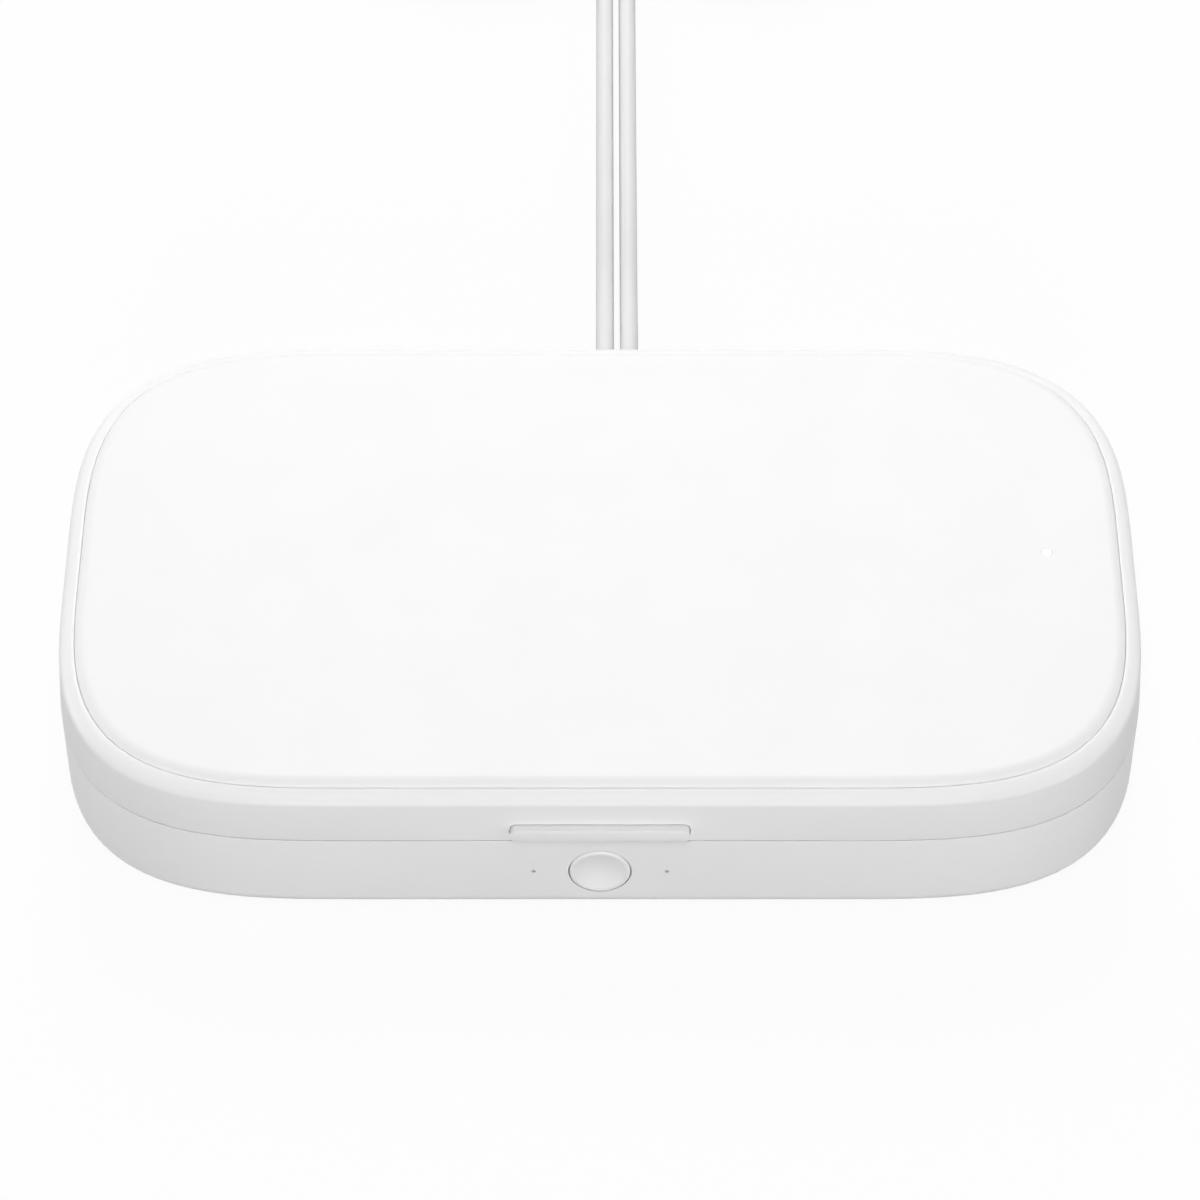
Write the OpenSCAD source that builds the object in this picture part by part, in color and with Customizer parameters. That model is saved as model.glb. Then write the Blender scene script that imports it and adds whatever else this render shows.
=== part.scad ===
// Ultraviolet cleaning box for handheld devices: a hinged clamshell with a charging
// surface on its lid, a reflector chamber inside and one button in front.
// Millimetres. X runs along the width, -Y is the front, Z is up.
// The origin is under the middle of the case, on the surface it stands on.

/* [Case] */
// Width of the case over its sides
case_w = 199; // [185:1:220]
// Depth of the case from front wall to rear wall
case_d = 117; // [110:1:130]
// Height of the base from its underside to the seam
base_h = 18.2; // [17.8:0.1:24]
// Height of the lid from its lower edge to the charging surface
lid_h = 11.6; // [11.2:0.1:15]
// Gap that shows as the seam between base and lid
seam_gap = 0.3; // [0.2:0.05:0.5]
// Length of each corner curve along the width
corner_w = 55; // [45:1:65]
// Length of each corner curve along the depth
corner_d = 53; // [44:1:54]
// Power of the corner curve, 2 is an ellipse and more is squarer
corner_power = 3.2; // [2.6:0.1:3.8]
// Thickness of the outer walls
wall = 2.4; // [2:0.1:2.8]
// Thickness of the base floor
floor_t = 2.2; // [2:0.1:2.8]
// Radius of the rolled edge under the base
bottom_roll = 2.9; // [1.5:0.1:4]
// Draft of the base wall, seam to bottom roll
base_draft = 0.2; // [0:0.05:0.6]

/* [Lid top] */
// Draft of the lid wall, seam to shoulder
lid_draft = 0.45; // [0.2:0.05:0.7]
// Height of the rolled shoulder below the crease
shoulder_h = 2.3; // [1.8:0.1:3]
// How far the crest of the shoulder lies in from the side
shoulder_in = 2.6; // [2:0.1:3.4]
// Rise of the charging surface above the crest of the shoulder
crease_rise = 0.6; // [0.3:0.05:0.9]
// Width of the rolled edge of the top plate
plate_roll = 2.1; // [1:0.1:4]
// Height of the rolled edge of the top plate
plate_drop = 1.3; // [0.9:0.05:1.4]
// Thickness of the top plate
plate_t = 2; // [1.6:0.1:2.2]
// Open crease between shoulder and top plate
crease_gap = 0.12; // [0.08:0.02:0.3]
// Width of the land under the rim of the top plate
land_w = 6.2; // [5:0.1:8]

/* [Chamber] */
// Distance from the case side to the chamber
side_gap = 10.5; // [10:0.1:13]
// Distance from the front of the case to the chamber
front_gap = 12.5; // [12.3:0.1:15]
// Distance from the rear of the case to the chamber
rear_gap = 10.5; // [10.2:0.1:13]
// Length of each chamber corner curve
chamber_corner = 43; // [30:1:45]
// Thickness of the tray and liner walls
tray_wall = 1.2; // [1:0.1:1.5]
// Thickness of the flange of the tray
flange_t = 1.6; // [1.3:0.1:2]
// Depth of the chamber floor below the seam
chamber_deep = 8.8; // [8.4:0.1:9.2]
// Height of the light lip above the seam
lip_h = 1.2; // [0.8:0.1:1.3]
// Depth of the recess in the lid liner
liner_deep = 1.9; // [1.5:0.1:2]
// Height of the soft rails on the chamber floor
rail_h = 1.8; // [1:0.1:2.5]

/* [Button and lights] */
// Diameter of the button cap
button_d = 11; // [9:0.1:11.6]
// Height of the button centre above the underside of the base
button_up = 9.7; // [9.2:0.1:10.2]
// Distance the button travels inwards
button_travel = 0.6; // [0.3:0.05:0.7]
// Radial gap round the button cap
button_gap = 0.2; // [0.15:0.05:0.3]
// Depth of the dish in the button cap
dish_deep = 0.8; // [0.3:0.05:1]
// Distance from the button centre to each front light
light_off = 12; // [10:0.1:16]
// Diameter of each front light hole
light_d = 0.7; // [0.6:0.05:1.2]
// Distance from the right side of the case to the status light
status_in = 16.8; // [16.5:0.1:18.5]
// Diameter of the status light in the lid
status_d = 2; // [1.5:0.1:2.6]

/* [Lift tab] */
// Width of the lift tab
tab_w = 32; // [24:0.1:40]
// Height of the lift tab
tab_h = 2.8; // [2.4:0.1:3.4]
// Height of the lower edge of the tab above the edge of the lid
tab_up = 1.1; // [0.8:0.1:1.6]
// How far the tab stands out of the lid wall
tab_out = 1.3; // [0.6:0.1:1.6]
// Radius of the upper edge of the tab
tab_edge = 0.6; // [0.3:0.05:0.9]

/* [Hinge] */
// Distance from the middle to the centre of each hinge
hinge_x = 38; // [30:1:40]
// Radius of the hinge knuckles
knuckle_r = 2.8; // [2.5:0.05:3]
// Length of each knuckle that the lid carries
lid_knuckle = 9; // [6:0.5:12]
// Length of each knuckle that the base carries
base_knuckle = 6.5; // [4:0.5:8]
// Diameter of the hinge pins
pin_d = 2; // [1.6:0.1:2.4]
// Running clearance of a pin in its lid knuckle
pin_clear = 0.05; // [0.03:0.01:0.08]

/* [Leads] */
// Diameter of each lead
lead_d = 3.6; // [3:0.1:4]
// Distance between the two leads
lead_pitch = 4.8; // [4.6:0.1:6]
// Length of the strain relief behind the case
relief_l = 16; // [12:1:17]

/* [Hidden] */
$fn = 48;

// Clearances
fit = 0.1;      // between fixed pieces that drop into each other
run = 0.3;      // between pieces of base and lid

// Levels of the base
mat_proud = 0.8;
mat_sunk = 0.5;
mat_in = 14;
base_z = mat_proud;
floor_z = base_z + floor_t;
seam_z = base_z + base_h;
ledge_z = seam_z - flange_t;
tray_top = seam_z - chamber_deep;
tray_floor_t = 1.4;
tray_under = tray_top - tray_floor_t;
lip_z = seam_z + lip_h;
seal_h = 0.8;

// Levels of the lid
lid_z = seam_z + seam_gap;
top_z = lid_z + lid_h;
crease_z = top_z - crease_rise;
shoulder_z = crease_z - shoulder_h;
plate_z = top_z - plate_t;
land_t = 1.5;
land_z = plate_z - land_t;
liner_z = lip_z + seal_h + run;
liner_flange_t = 1.8;
liner_flange_z = liner_z + liner_flange_t;
ceiling_t = 1.2;
ceiling_z = liner_z + liner_deep;
ceiling_top = ceiling_z + ceiling_t;

// Plan sizes
half_w = case_w / 2;
half_d = case_d / 2;
crest_w = 0.4;
recess_in = shoulder_in + crest_w;
chamber_hw = half_w - side_gap;
chamber_front = -half_d + front_gap;
chamber_rear = half_d - rear_gap;
chamber_y = (chamber_front + chamber_rear) / 2;
chamber_hd = (chamber_rear - chamber_front) / 2;
ledge_wall = 1.4;
lip_in = wall + 0.4;
lip_t = 1.2;

// Middles of the zones between the case wall and the chamber wall
side_zone = half_w - (wall + side_gap - tray_wall) / 2;
front_zone = -half_d + (wall + front_gap - tray_wall) / 2;
rear_zone = half_d - (wall + rear_gap - tray_wall) / 2;

// Ribs inside the walls
rib_t = 1.2;
rib_in = 3;
base_ribs_y = [-12, 12];
lid_ribs_y = [-16, 18];
front_rib_x = 33;
rear_rib_x = 20;

// Hinge
hinge_y = half_d + 0.5;
hinge_z = seam_z + seam_gap / 2;
hinge_l = lid_knuckle + 2 * base_knuckle + 2 * run;

// Ultraviolet boards and windows
pane_w = 14;
pane_l = 64;
pane_t = 1;
pane_edge = 2;
board_w = 12;
board_l = 74;
board_t = 1.6;
lid_board_t = 0.8;
led_a = 3.5;
led_h = 1.3;
led_base_h = 0.9;
led_lens_d = 2.8;
led_n = 4;
led_step = 16;
led_gap = 0.7;
base_led_in = 47;
lid_led_in = 27;
base_led_x = chamber_hw - base_led_in;
lid_led_x = chamber_hw - lid_led_in;
peg_d = 1.8;
peg_off = board_l / 2 - 3;
post_d = 4;
board_z = tray_under - led_gap - led_h - board_t;
lid_board_z = ceiling_top + 0.2 + led_h;

// Screws under the tray
screw_x = chamber_hw - 11;
screw_dy = 25;
screw_d = 2.5;
screw_head_d = 4.6;
screw_head_h = 1.3;
screw_seat = base_z + mat_sunk + 0.1 + screw_head_h;
boss_split = board_z;

// Front board and switch
front_board_t = 1.6;
front_board_y = chamber_front - tray_wall - 0.8 - front_board_t;
front_board_w = 48;
front_board_z = floor_z + 0.4;
front_board_h = 13;
switch_a = 6;
switch_deep = 3.4;
plunger_d = 3.2;
plunger_in = 0.5;
plunger_bore = plunger_in + button_travel + 0.4;
button_z = base_z + button_up;
button_front = -half_d - 0.05;
skirt_t = 0.8;
skirt_over = 0.9;
skirt_y = -half_d + wall + 0.3;

// Magnets
magnet_d = 6;
magnet_h = 2.2;
magnet_x = half_w - corner_w + 8;
cup_t = 0.9;
magnet_roof = 0.6;

// Lid electronics
coil_r = 25;
coil_hole_r = 10;
coil_h = 1.1;
ferrite_a = 54;
ferrite_post = ferrite_a / 2 - 5;
ferrite_t = 0.7;
coil_z = plate_z - 0.1 - coil_h;
ferrite_z = coil_z - ferrite_t;
charger_t = 0.8;
charger_z = coil_z - 0.2;
charger_w = 24;
status_x = half_w - status_in;
status_y = 1.6;
charger_gap = 4;
charger_over = 3;
charger_x0 = ferrite_a / 2 + charger_gap;
charger_x1 = status_x + charger_over;

// Screws of the liner: two at the sides, two in front and two behind
liner_screw_d = 1.9;
liner_head_d = 3.6;
liner_head_h = 0.9;
liner_boss_d = 5.2;
liner_screws_at = [
    [-side_zone, chamber_y], [side_zone, chamber_y],
    [-30, front_zone], [30, front_zone],
    [-16, rear_zone], [16, rear_zone]
];

// Leads, their strain relief and their plugs
lead_mid = 3.4;
gland_z = base_z + 6.2;
gland_h = lead_d + 2;
gland_end_h = lead_d + 0.9;
flange_over = 1;
gland_flange_t = 1.6;
relief_y = half_d + relief_l;
plug_z = 4;
plug_w = 15.6;
plug_h = 8;
plug_l = 22;
plug_r = 2.4;
plug_neck = 7;
usb_w = 12;
usb_h = 4.5;
usb_l = 12.4;
usb_t = 0.4;

// Each lead runs straight back and falls to the surface: distance behind the end
// of its relief, and share of the fall
lead_drop = [
    [0, 0], [4, 0], [9, 0.13], [14, 0.38], [19, 0.69], [24, 0.9], [29, 1]
];
lead_floor_y = [112, 120, 128, 136, 144, 152, 160, 168, 176, 184, 192, 200, 208, 214, 220.8];

// Each coil lies just beyond: two layers that spiral in and out again
coil_y = 228;
coil_outer_r = 28.5;
coil_turns = 8.25;
coil_wind = lead_d + 0.5;
coil_step = 15;
coil_tail = [[5, 0], [10, 0.3], [14, 0.7], [18, 1], [22, 1]];

shell_white = [0.95, 0.95, 0.95];
inner_white = [0.9, 0.91, 0.92];
mirror_grey = [0.8, 0.82, 0.84];
steel = [0.7, 0.71, 0.73];
board_green = [0.13, 0.42, 0.27];
rubber_grey = [0.55, 0.56, 0.58];
pane_blue = [0.75, 0.85, 0.95];
copper = [0.8, 0.48, 0.25];
dark = [0.15, 0.15, 0.16];

// ---------------------------------------------------------------- outlines

corner_steps = 14;

function corner(hx, hy, rx, ry) = [
    for (i = [0 : corner_steps])
        let (t = 90 * i / corner_steps)
        [hx - rx + rx * pow(cos(t), 2 / corner_power), hy - ry + ry * pow(sin(t), 2 / corner_power)]
];

function back_to_front(list) = [for (i = [len(list) - 1 : -1 : 0]) list[i]];

// A rectangle of half sizes hx and hy whose corners are superellipse arcs
function outline(hx, hy, rx, ry) =
    let (q = corner(hx, hy, rx, ry), r = back_to_front(q))
    concat(q, [for (p = r) [-p.x, p.y]], [for (p = q) [-p.x, -p.y]], [for (p = r) [p.x, -p.y]]);

// The outline of the case, drawn in by a distance
function case_line(inset) =
    outline(half_w - inset, half_d - inset, corner_w - inset, corner_d - inset);

// The outline of the chamber, grown by a distance
function chamber_line(grow) = [
    for (p = outline(chamber_hw + grow, chamber_hd + grow, chamber_corner + grow, chamber_corner + grow))
        [p.x, p.y + chamber_y]
];

function at_height(line, z) = [for (p = line) [p.x, p.y, z]];

// A closed solid through a list of rings, from its bottom ring to its top one
module loft(rings) {
    n = len(rings[0]);
    last = (len(rings) - 1) * n;
    side_faces = [
        for (k = [0 : len(rings) - 2])
            for (i = [0 : n - 1])
                let (a = k * n + i, b = k * n + (i + 1) % n)
                each [[a, a + n, b + n], [a, b + n, b]]
    ];
    polyhedron(
        points = [for (r = rings) each r],
        faces = concat(
            [[for (i = [0 : n - 1]) i]],
            side_faces,
            [[for (i = [n - 1 : -1 : 0]) last + i]]
        )
    );
}

// A plate of a given outline between two heights
module slab(line, z0, z1) {
    translate([0, 0, z0])
        linear_extrude(height = z1 - z0)
            polygon(line);
}

// A rod along Y and one along X
module rod_y(r, y0, y1) {
    translate([0, y0, 0])
        rotate([-90, 0, 0])
            cylinder(r = r, h = y1 - y0);
}

module rod_x(r, x0, x1) {
    translate([x0, 0, 0])
        rotate([0, 90, 0])
            cylinder(r = r, h = x1 - x0);
}

// An upright post
module post(d, z0, z1) {
    translate([0, 0, z0])
        cylinder(d = d, h = z1 - z0);
}

// A block centred in X and Y between two heights
module block(x, y, z0, z1) {
    translate([-x / 2, -y / 2, z0])
        cube([x, y, z1 - z0]);
}

// A flat shape with round corners, centred
module round_rect(x, y, r) {
    union() {
        square([x - 2 * r, y], center = true);
        square([x, y - 2 * r], center = true);
        for (i = [-1, 1], j = [-1, 1])
            translate([i * (x / 2 - r), j * (y / 2 - r)])
                circle(r = r);
    }
}

module round_block(x, y, r, z0, z1) {
    translate([0, 0, z0])
        linear_extrude(height = z1 - z0)
            round_rect(x, y, r);
}

module in_pairs(x) {
    for (i = [-1, 1])
        translate([i * x, 0, 0])
            children();
}

module at_tray_screws() {
    for (i = [-1, 1], j = [-1, 1])
        translate([i * screw_x, chamber_y + j * screw_dy, 0])
            children();
}

module at_liner_screws() {
    for (p = liner_screws_at)
        translate([p.x, p.y, 0])
            children();
}

// ---------------------------------------------------------------- hinge

// One knuckle between two x positions, with the web that joins it to its wall.
// up is 1 on the lid, whose web rises, and -1 on the base
module knuckle(x0, x1, up) {
    web_y = half_d - wall - hinge_y;
    translate([0, hinge_y, hinge_z]) {
        rod_x(knuckle_r, x0, x1);
        rotate([90, 0, 90])
            translate([0, 0, x0])
                linear_extrude(height = x1 - x0)
                    polygon([
                        [web_y, up * seam_gap / 2],
                        [0, up * seam_gap / 2],
                        [knuckle_r * cos(35), up * knuckle_r * sin(35)],
                        [half_d - hinge_y, up * (knuckle_r + 1.6)],
                        [web_y, up * (knuckle_r + 1.6)]
                    ]);
    }
}

// The round space that a turning knuckle needs
module knuckle_room(x0, x1) {
    translate([0, hinge_y, hinge_z])
        rod_x(knuckle_r + run, x0 - run, x1 + run);
}

base_knuckle_x = [-lid_knuckle / 2 - run - base_knuckle, lid_knuckle / 2 + run];

module base_knuckles() {
    in_pairs(hinge_x)
        for (x = base_knuckle_x)
            knuckle(x, x + base_knuckle, -1);
}

module base_knuckle_room() {
    in_pairs(hinge_x)
        for (x = base_knuckle_x)
            knuckle_room(x, x + base_knuckle);
}

module lid_knuckles() {
    in_pairs(hinge_x)
        knuckle(-lid_knuckle / 2, lid_knuckle / 2, 1);
}

module lid_knuckle_room() {
    in_pairs(hinge_x)
        knuckle_room(-lid_knuckle / 2, lid_knuckle / 2);
}

// Bores for the hinge pins
module pin_bores(d) {
    in_pairs(hinge_x)
        translate([0, hinge_y, hinge_z])
            rod_x(d / 2, -hinge_l / 2 - 1, hinge_l / 2 + 1);
}

module hinge_pins() {
    color(steel)
        in_pairs(hinge_x)
            translate([0, hinge_y, hinge_z])
                rod_x(pin_d / 2, -hinge_l / 2, hinge_l / 2);
}

// ---------------------------------------------------------------- base

base_rings = concat(
    [
        for (k = [0 : 4])
            let (t = 90 * k / 4)
            at_height(
                case_line(base_draft + bottom_roll * (1 - sin(t))),
                base_z + bottom_roll * (1 - cos(t))
            )
    ],
    [at_height(case_line(0), seam_z)]
);

// An upright rib on the inside of a side wall, and one on the front (-1) or rear (1) wall
module side_rib(side, y, z0, z1) {
    translate([side * (half_w - wall - rib_in / 2 + 0.1), y, 0])
        block(rib_in + 0.2, rib_t, z0, z1);
}

module end_rib(x, end, z0, z1) {
    translate([x, end * (half_d - wall - rib_in / 2 + 0.1), 0])
        block(rib_t, rib_in + 0.2, z0, z1);
}

// The ribs of the base carry the flange of the tray
module wall_ribs() {
    for (i = [-1, 1]) {
        for (y = base_ribs_y)
            side_rib(i, y, floor_z - 0.1, ledge_z);
        end_rib(i * front_rib_x, -1, floor_z - 0.1, ledge_z);
        end_rib(i * rear_rib_x, 1, floor_z - 0.1, ledge_z);
    }
}

// Slotted uprights that hold the front board on edge
module board_holders() {
    front = front_board_y - 2;
    rear = chamber_front - tray_wall - fit;
    difference() {
        in_pairs(front_board_w / 2 - 1)
            translate([0, (front + rear) / 2, 0])
                block(3, rear - front, floor_z - 0.1, button_z);
        translate([0, front_board_y + front_board_t / 2, 0])
            block(front_board_w + 2 * fit, front_board_t + 2 * fit, front_board_z, button_z + 1);
    }
}

module gland_plan(grow) {
    width = lead_pitch + gland_h;
    translate([lead_mid, gland_z])
        round_rect(width + 2 * grow, gland_h + 2 * grow, gland_h / 2 - 0.01 + grow);
}

// Extrudes a flat shape drawn in X and Z from y0 to y1
module along_y(y0, y1) {
    translate([0, y1, 0])
        rotate([90, 0, 0])
            linear_extrude(height = y1 - y0)
                children();
}

module base_shell() {
    color(shell_white)
        difference() {
            union() {
                difference() {
                    loft(base_rings);
                    slab(case_line(wall), floor_z, seam_z + 1);
                    slab(case_line(ledge_wall), ledge_z, seam_z + 1);
                    lid_knuckle_room();
                }
                base_knuckles();
                wall_ribs();
                board_holders();
                at_tray_screws()
                    post(7.6, floor_z - 0.1, boss_split);
                in_pairs(base_led_x)
                    for (j = [-1, 1])
                        translate([0, chamber_y + j * peg_off, 0]) {
                            post(post_d, floor_z - 0.1, board_z);
                            post(peg_d, board_z - 0.1, board_z + board_t + 0.5);
                        }
            }
            pin_bores(pin_d);
            slab(case_line(mat_in - fit), base_z - 1, base_z + mat_sunk);
            at_tray_screws() {
                post(screw_head_d + 2 * fit, base_z, screw_seat);
                post(screw_d + 4 * fit, base_z, boss_split + 1);
            }
            translate([0, 0, button_z])
                rod_y(button_d / 2 + button_gap, -half_d - 1, -half_d + wall + 1);
            in_pairs(light_off)
                translate([0, 0, button_z])
                    rod_y(light_d / 2, -half_d - 1, -half_d + wall + 1);
            along_y(half_d - wall - 1, half_d + 1)
                gland_plan(0);
        }
}

module base_tray() {
    color(mirror_grey)
        difference() {
            union() {
                slab(case_line(ledge_wall + fit), ledge_z, seam_z);
                slab(case_line(lip_in), seam_z - 0.1, lip_z);
                slab(chamber_line(tray_wall), tray_under, ledge_z + 0.1);
                at_tray_screws()
                    post(5.6, boss_split, tray_under + 0.1);
                in_pairs(magnet_x)
                    translate([0, front_zone, 0])
                        post(magnet_d + 2 * cup_t, seam_z - magnet_roof - magnet_h, ledge_z + 0.1);
            }
            slab(case_line(lip_in + lip_t), seam_z, lip_z + 1);
            slab(chamber_line(0), tray_top, lip_z + 1);
            in_pairs(hinge_x)
                translate([0, half_d - wall / 2, 0])
                    block(hinge_l + 2 * run, wall + 4 * fit, ledge_z - 1, lip_z + 1);
            at_tray_screws()
                post(screw_d + fit, boss_split - 1, tray_top - 0.8);
            in_pairs(magnet_x)
                translate([0, front_zone, 0])
                    post(magnet_d + fit, seam_z - magnet_roof - magnet_h - 1, seam_z - magnet_roof);
            in_pairs(base_led_x)
                translate([0, chamber_y, 0]) {
                    round_block(pane_w - 2 * pane_edge, pane_l - 2 * pane_edge, 2, tray_under - 1, tray_top + 1);
                    round_block(pane_w + 2 * fit, pane_l + 2 * fit, 3, tray_top - pane_t, tray_top + 1);
                }
        }
}

// Soft rails with round backs that keep what is cleaned off the windows
module chamber_rails() {
    rail_w = 2.6;
    rail_l = 66;
    rail_round = 2;
    inner_x = 12;
    outer_x = chamber_hw - 19;
    color(inner_white)
        for (x = [-outer_x, -inner_x, inner_x, outer_x])
            translate([x, chamber_y, tray_top])
                along_y(-rail_l / 2, rail_l / 2)
                    intersection() {
                        translate([0, rail_h - rail_round])
                            circle(r = rail_round);
                        translate([-rail_w / 2, 0])
                            square([rail_w, rail_h + 1]);
                    }
}

module base_windows() {
    color(pane_blue)
        in_pairs(base_led_x)
            translate([0, chamber_y, 0])
                round_block(pane_w, pane_l, 3, tray_top - pane_t, tray_top);
}

// A strip board with a peg hole near each end
module strip_board(z0, z1) {
    difference() {
        translate([0, chamber_y, 0])
            round_block(board_w, board_l, 1, z0, z1);
        for (j = [-1, 1])
            translate([0, chamber_y + j * peg_off, 0])
                post(peg_d + 2 * fit, z0 - 1, z1 + 1);
    }
}

// A row of light-emitting chips, each a square base with a round lens that
// faces up (1) or down (-1) from the board
module led_row(z_board, face) {
    z_rim = z_board + face * led_base_h;
    z_lens = z_board + face * led_h;
    for (i = [0 : led_n - 1])
        translate([0, chamber_y + (i - (led_n - 1) / 2) * led_step, 0]) {
            block(led_a, led_a, min(z_board, z_rim), max(z_board, z_rim));
            post(led_lens_d, min(z_board, z_lens), max(z_board, z_lens));
        }
}

module base_uv_boards() {
    color(board_green)
        in_pairs(base_led_x)
            strip_board(board_z, board_z + board_t);
}

module base_uv_leds() {
    color(inner_white)
        in_pairs(base_led_x)
            led_row(board_z + board_t, 1);
}

module main_board() {
    color(board_green)
        translate([0, front_board_y + front_board_t / 2, 0])
            block(front_board_w, front_board_t, front_board_z, front_board_z + front_board_h);
}

// Controller, driver coil and connector on the front board
module board_parts() {
    chip_x = front_board_w / 2 - 5.5;
    chip_a = 6;
    chip_t = 1.2;
    choke_t = 3;
    can_x = 8;
    can_r = 1.6;
    can_l = 2.4;
    z = front_board_z + front_board_h / 2;
    color(dark)
        translate([0, front_board_y, 0]) {
            translate([-chip_x, -chip_t / 2, 0])
                block(chip_a, chip_t, z - chip_a / 2, z + chip_a / 2);
            translate([chip_x, -choke_t / 2, 0])
                block(chip_a, choke_t, z - chip_a / 2, z + chip_a / 2);
            translate([can_x, 0, front_board_z + front_board_h - can_r - 0.4])
                rod_y(can_r, -can_l, 0);
        }
}

module switch_body() {
    color(dark)
        difference() {
            translate([0, front_board_y - switch_deep / 2, 0])
                block(switch_a, switch_deep, button_z - switch_a / 2, button_z + switch_a / 2);
            translate([0, front_board_y - switch_deep, button_z])
                rod_y(plunger_d / 2 + fit, -1, plunger_bore);
        }
}

module switch_plunger() {
    front = skirt_y + skirt_t + 0.5;
    color(inner_white)
        translate([0, 0, button_z])
            rod_y(plunger_d / 2, front, front_board_y - switch_deep + plunger_in);
}

// Dished cap with a bevelled rim, a retaining skirt and a stem
module button_cap() {
    r = button_d / 2;
    bevel = 0.35;
    dish_r = r - 0.8;
    stem_end = skirt_y + skirt_t + 0.5 - button_front;
    color(shell_white)
        translate([0, button_front, button_z])
            rotate([-90, 0, 0])
                rotate_extrude()
                    polygon(concat(
                        [
                            for (i = [0 : 8])
                                let (q = i / 8)
                                [dish_r * q, dish_deep * (1 - q * q)]
                        ],
                        [
                            [r - bevel, 0],
                            [r, bevel],
                            [r, skirt_y - button_front],
                            [r + skirt_over, skirt_y - button_front],
                            [r + skirt_over, skirt_y + skirt_t - button_front],
                            [plunger_d / 2 + 0.6, skirt_y + skirt_t - button_front],
                            [plunger_d / 2 + 0.6, stem_end],
                            [0, stem_end]
                        ]
                    ));
}

module front_light_pipes() {
    inner_y = -half_d + wall;
    color(pane_blue)
        in_pairs(light_off)
            translate([0, 0, button_z]) {
                rod_y(1, inner_y, front_board_y);
                rod_y(light_d / 2 - 0.03, inner_y - wall + 0.5, inner_y + 0.1);
            }
}

module magnets(z0) {
    color(steel)
        in_pairs(magnet_x)
            translate([0, front_zone, 0])
                post(magnet_d, z0, z0 + magnet_h);
}

module base_magnets() {
    magnets(seam_z - magnet_roof - magnet_h);
}

module rim_seal() {
    color(rubber_grey)
        difference() {
            slab(case_line(lip_in + 0.1), lip_z, lip_z + seal_h);
            slab(case_line(lip_in + lip_t - 0.1), lip_z - 1, lip_z + seal_h + 1);
        }
}

// Self-tapping screws with round heads, up into the tray
module tray_screws() {
    color(steel)
        at_tray_screws() {
            difference() {
                post(screw_head_d, screw_seat - screw_head_h, screw_seat);
                block(2.6, 0.6, screw_seat - screw_head_h - 1, screw_seat - screw_head_h + 0.5);
                block(0.6, 2.6, screw_seat - screw_head_h - 1, screw_seat - screw_head_h + 0.5);
            }
            post(screw_d, screw_seat - 0.1, tray_under - 0.2);
        }
}

module foot_mat() {
    color(rubber_grey)
        slab(case_line(mat_in), 0, base_z + mat_sunk);
}

// ---------------------------------------------------------------- lid

shoulder_turn = 70;
shoulder_rx = (shoulder_in - lid_draft) / (1 - cos(shoulder_turn));
shoulder_rz = shoulder_h / sin(shoulder_turn);
lid_rings = concat(
    [at_height(case_line(0), lid_z)],
    [
        for (k = [0 : 5])
            let (t = shoulder_turn * k / 5)
            at_height(
                case_line(lid_draft + shoulder_rx * (1 - cos(t))),
                shoulder_z + shoulder_rz * sin(t)
            )
    ]
);

plate_rings = concat(
    [at_height(case_line(recess_in + crease_gap), plate_z)],
    [
        for (k = [0 : 5])
            let (t = 18 * k)
            at_height(
                case_line(recess_in + crease_gap + plate_roll * (1 - cos(t))),
                top_z - plate_drop + plate_drop * sin(t)
            )
    ]
);

land_in = recess_in + land_w;

// Upright ribs inside the lid wall, up to the land of the top plate
module lid_ribs() {
    z0 = liner_flange_z + 2 * fit;
    for (i = [-1, 1]) {
        for (y = lid_ribs_y)
            side_rib(i, y, z0, land_z + 0.1);
        end_rib(i * (magnet_x - 8.5), -1, z0, land_z + 0.1);
    }
}

tab_z0 = lid_z + tab_up;
tab_tongue_z = tab_z0 + tab_h / 2;
pocket_in = 0.9;
tongue_w = 22;
tongue_t = 1.4;
tab_round = 1.2;

module lid_shell() {
    color(shell_white)
        difference() {
            union() {
                difference() {
                    loft(lid_rings);
                    slab(case_line(wall), lid_z - 1, land_z);
                    slab(case_line(land_in), land_z - 1, plate_z + 1);
                    slab(case_line(recess_in), plate_z, top_z + 1);
                    base_knuckle_room();
                }
                lid_knuckles();
                lid_ribs();
                at_liner_screws()
                    post(liner_boss_d, liner_flange_z, land_z + 0.1);
            }
            pin_bores(pin_d + 2 * pin_clear);
            at_liner_screws()
                post(liner_screw_d + fit, liner_flange_z - 1, land_z - 0.2);
            translate([0, -half_d, tab_tongue_z]) {
                block(tongue_w + 2 * fit, 2 * wall + 2, -tongue_t / 2 - fit, tongue_t / 2 + fit);
                along_y(-1, pocket_in)
                    round_rect(tab_w + 2 * fit, tab_h + 2 * fit, tab_round + fit);
            }
        }
}

module top_plate() {
    color(shell_white)
        difference() {
            union() {
                loft(plate_rings);
                difference() {
                    slab(case_line(land_in + fit), plate_z - 0.9, plate_z + 0.1);
                    slab(case_line(land_in + fit + 1), plate_z - 1, plate_z + 0.2);
                }
            }
            translate([status_x, status_y, 0])
                post(status_d + fit, plate_z - 1, top_z + 1);
        }
}

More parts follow.
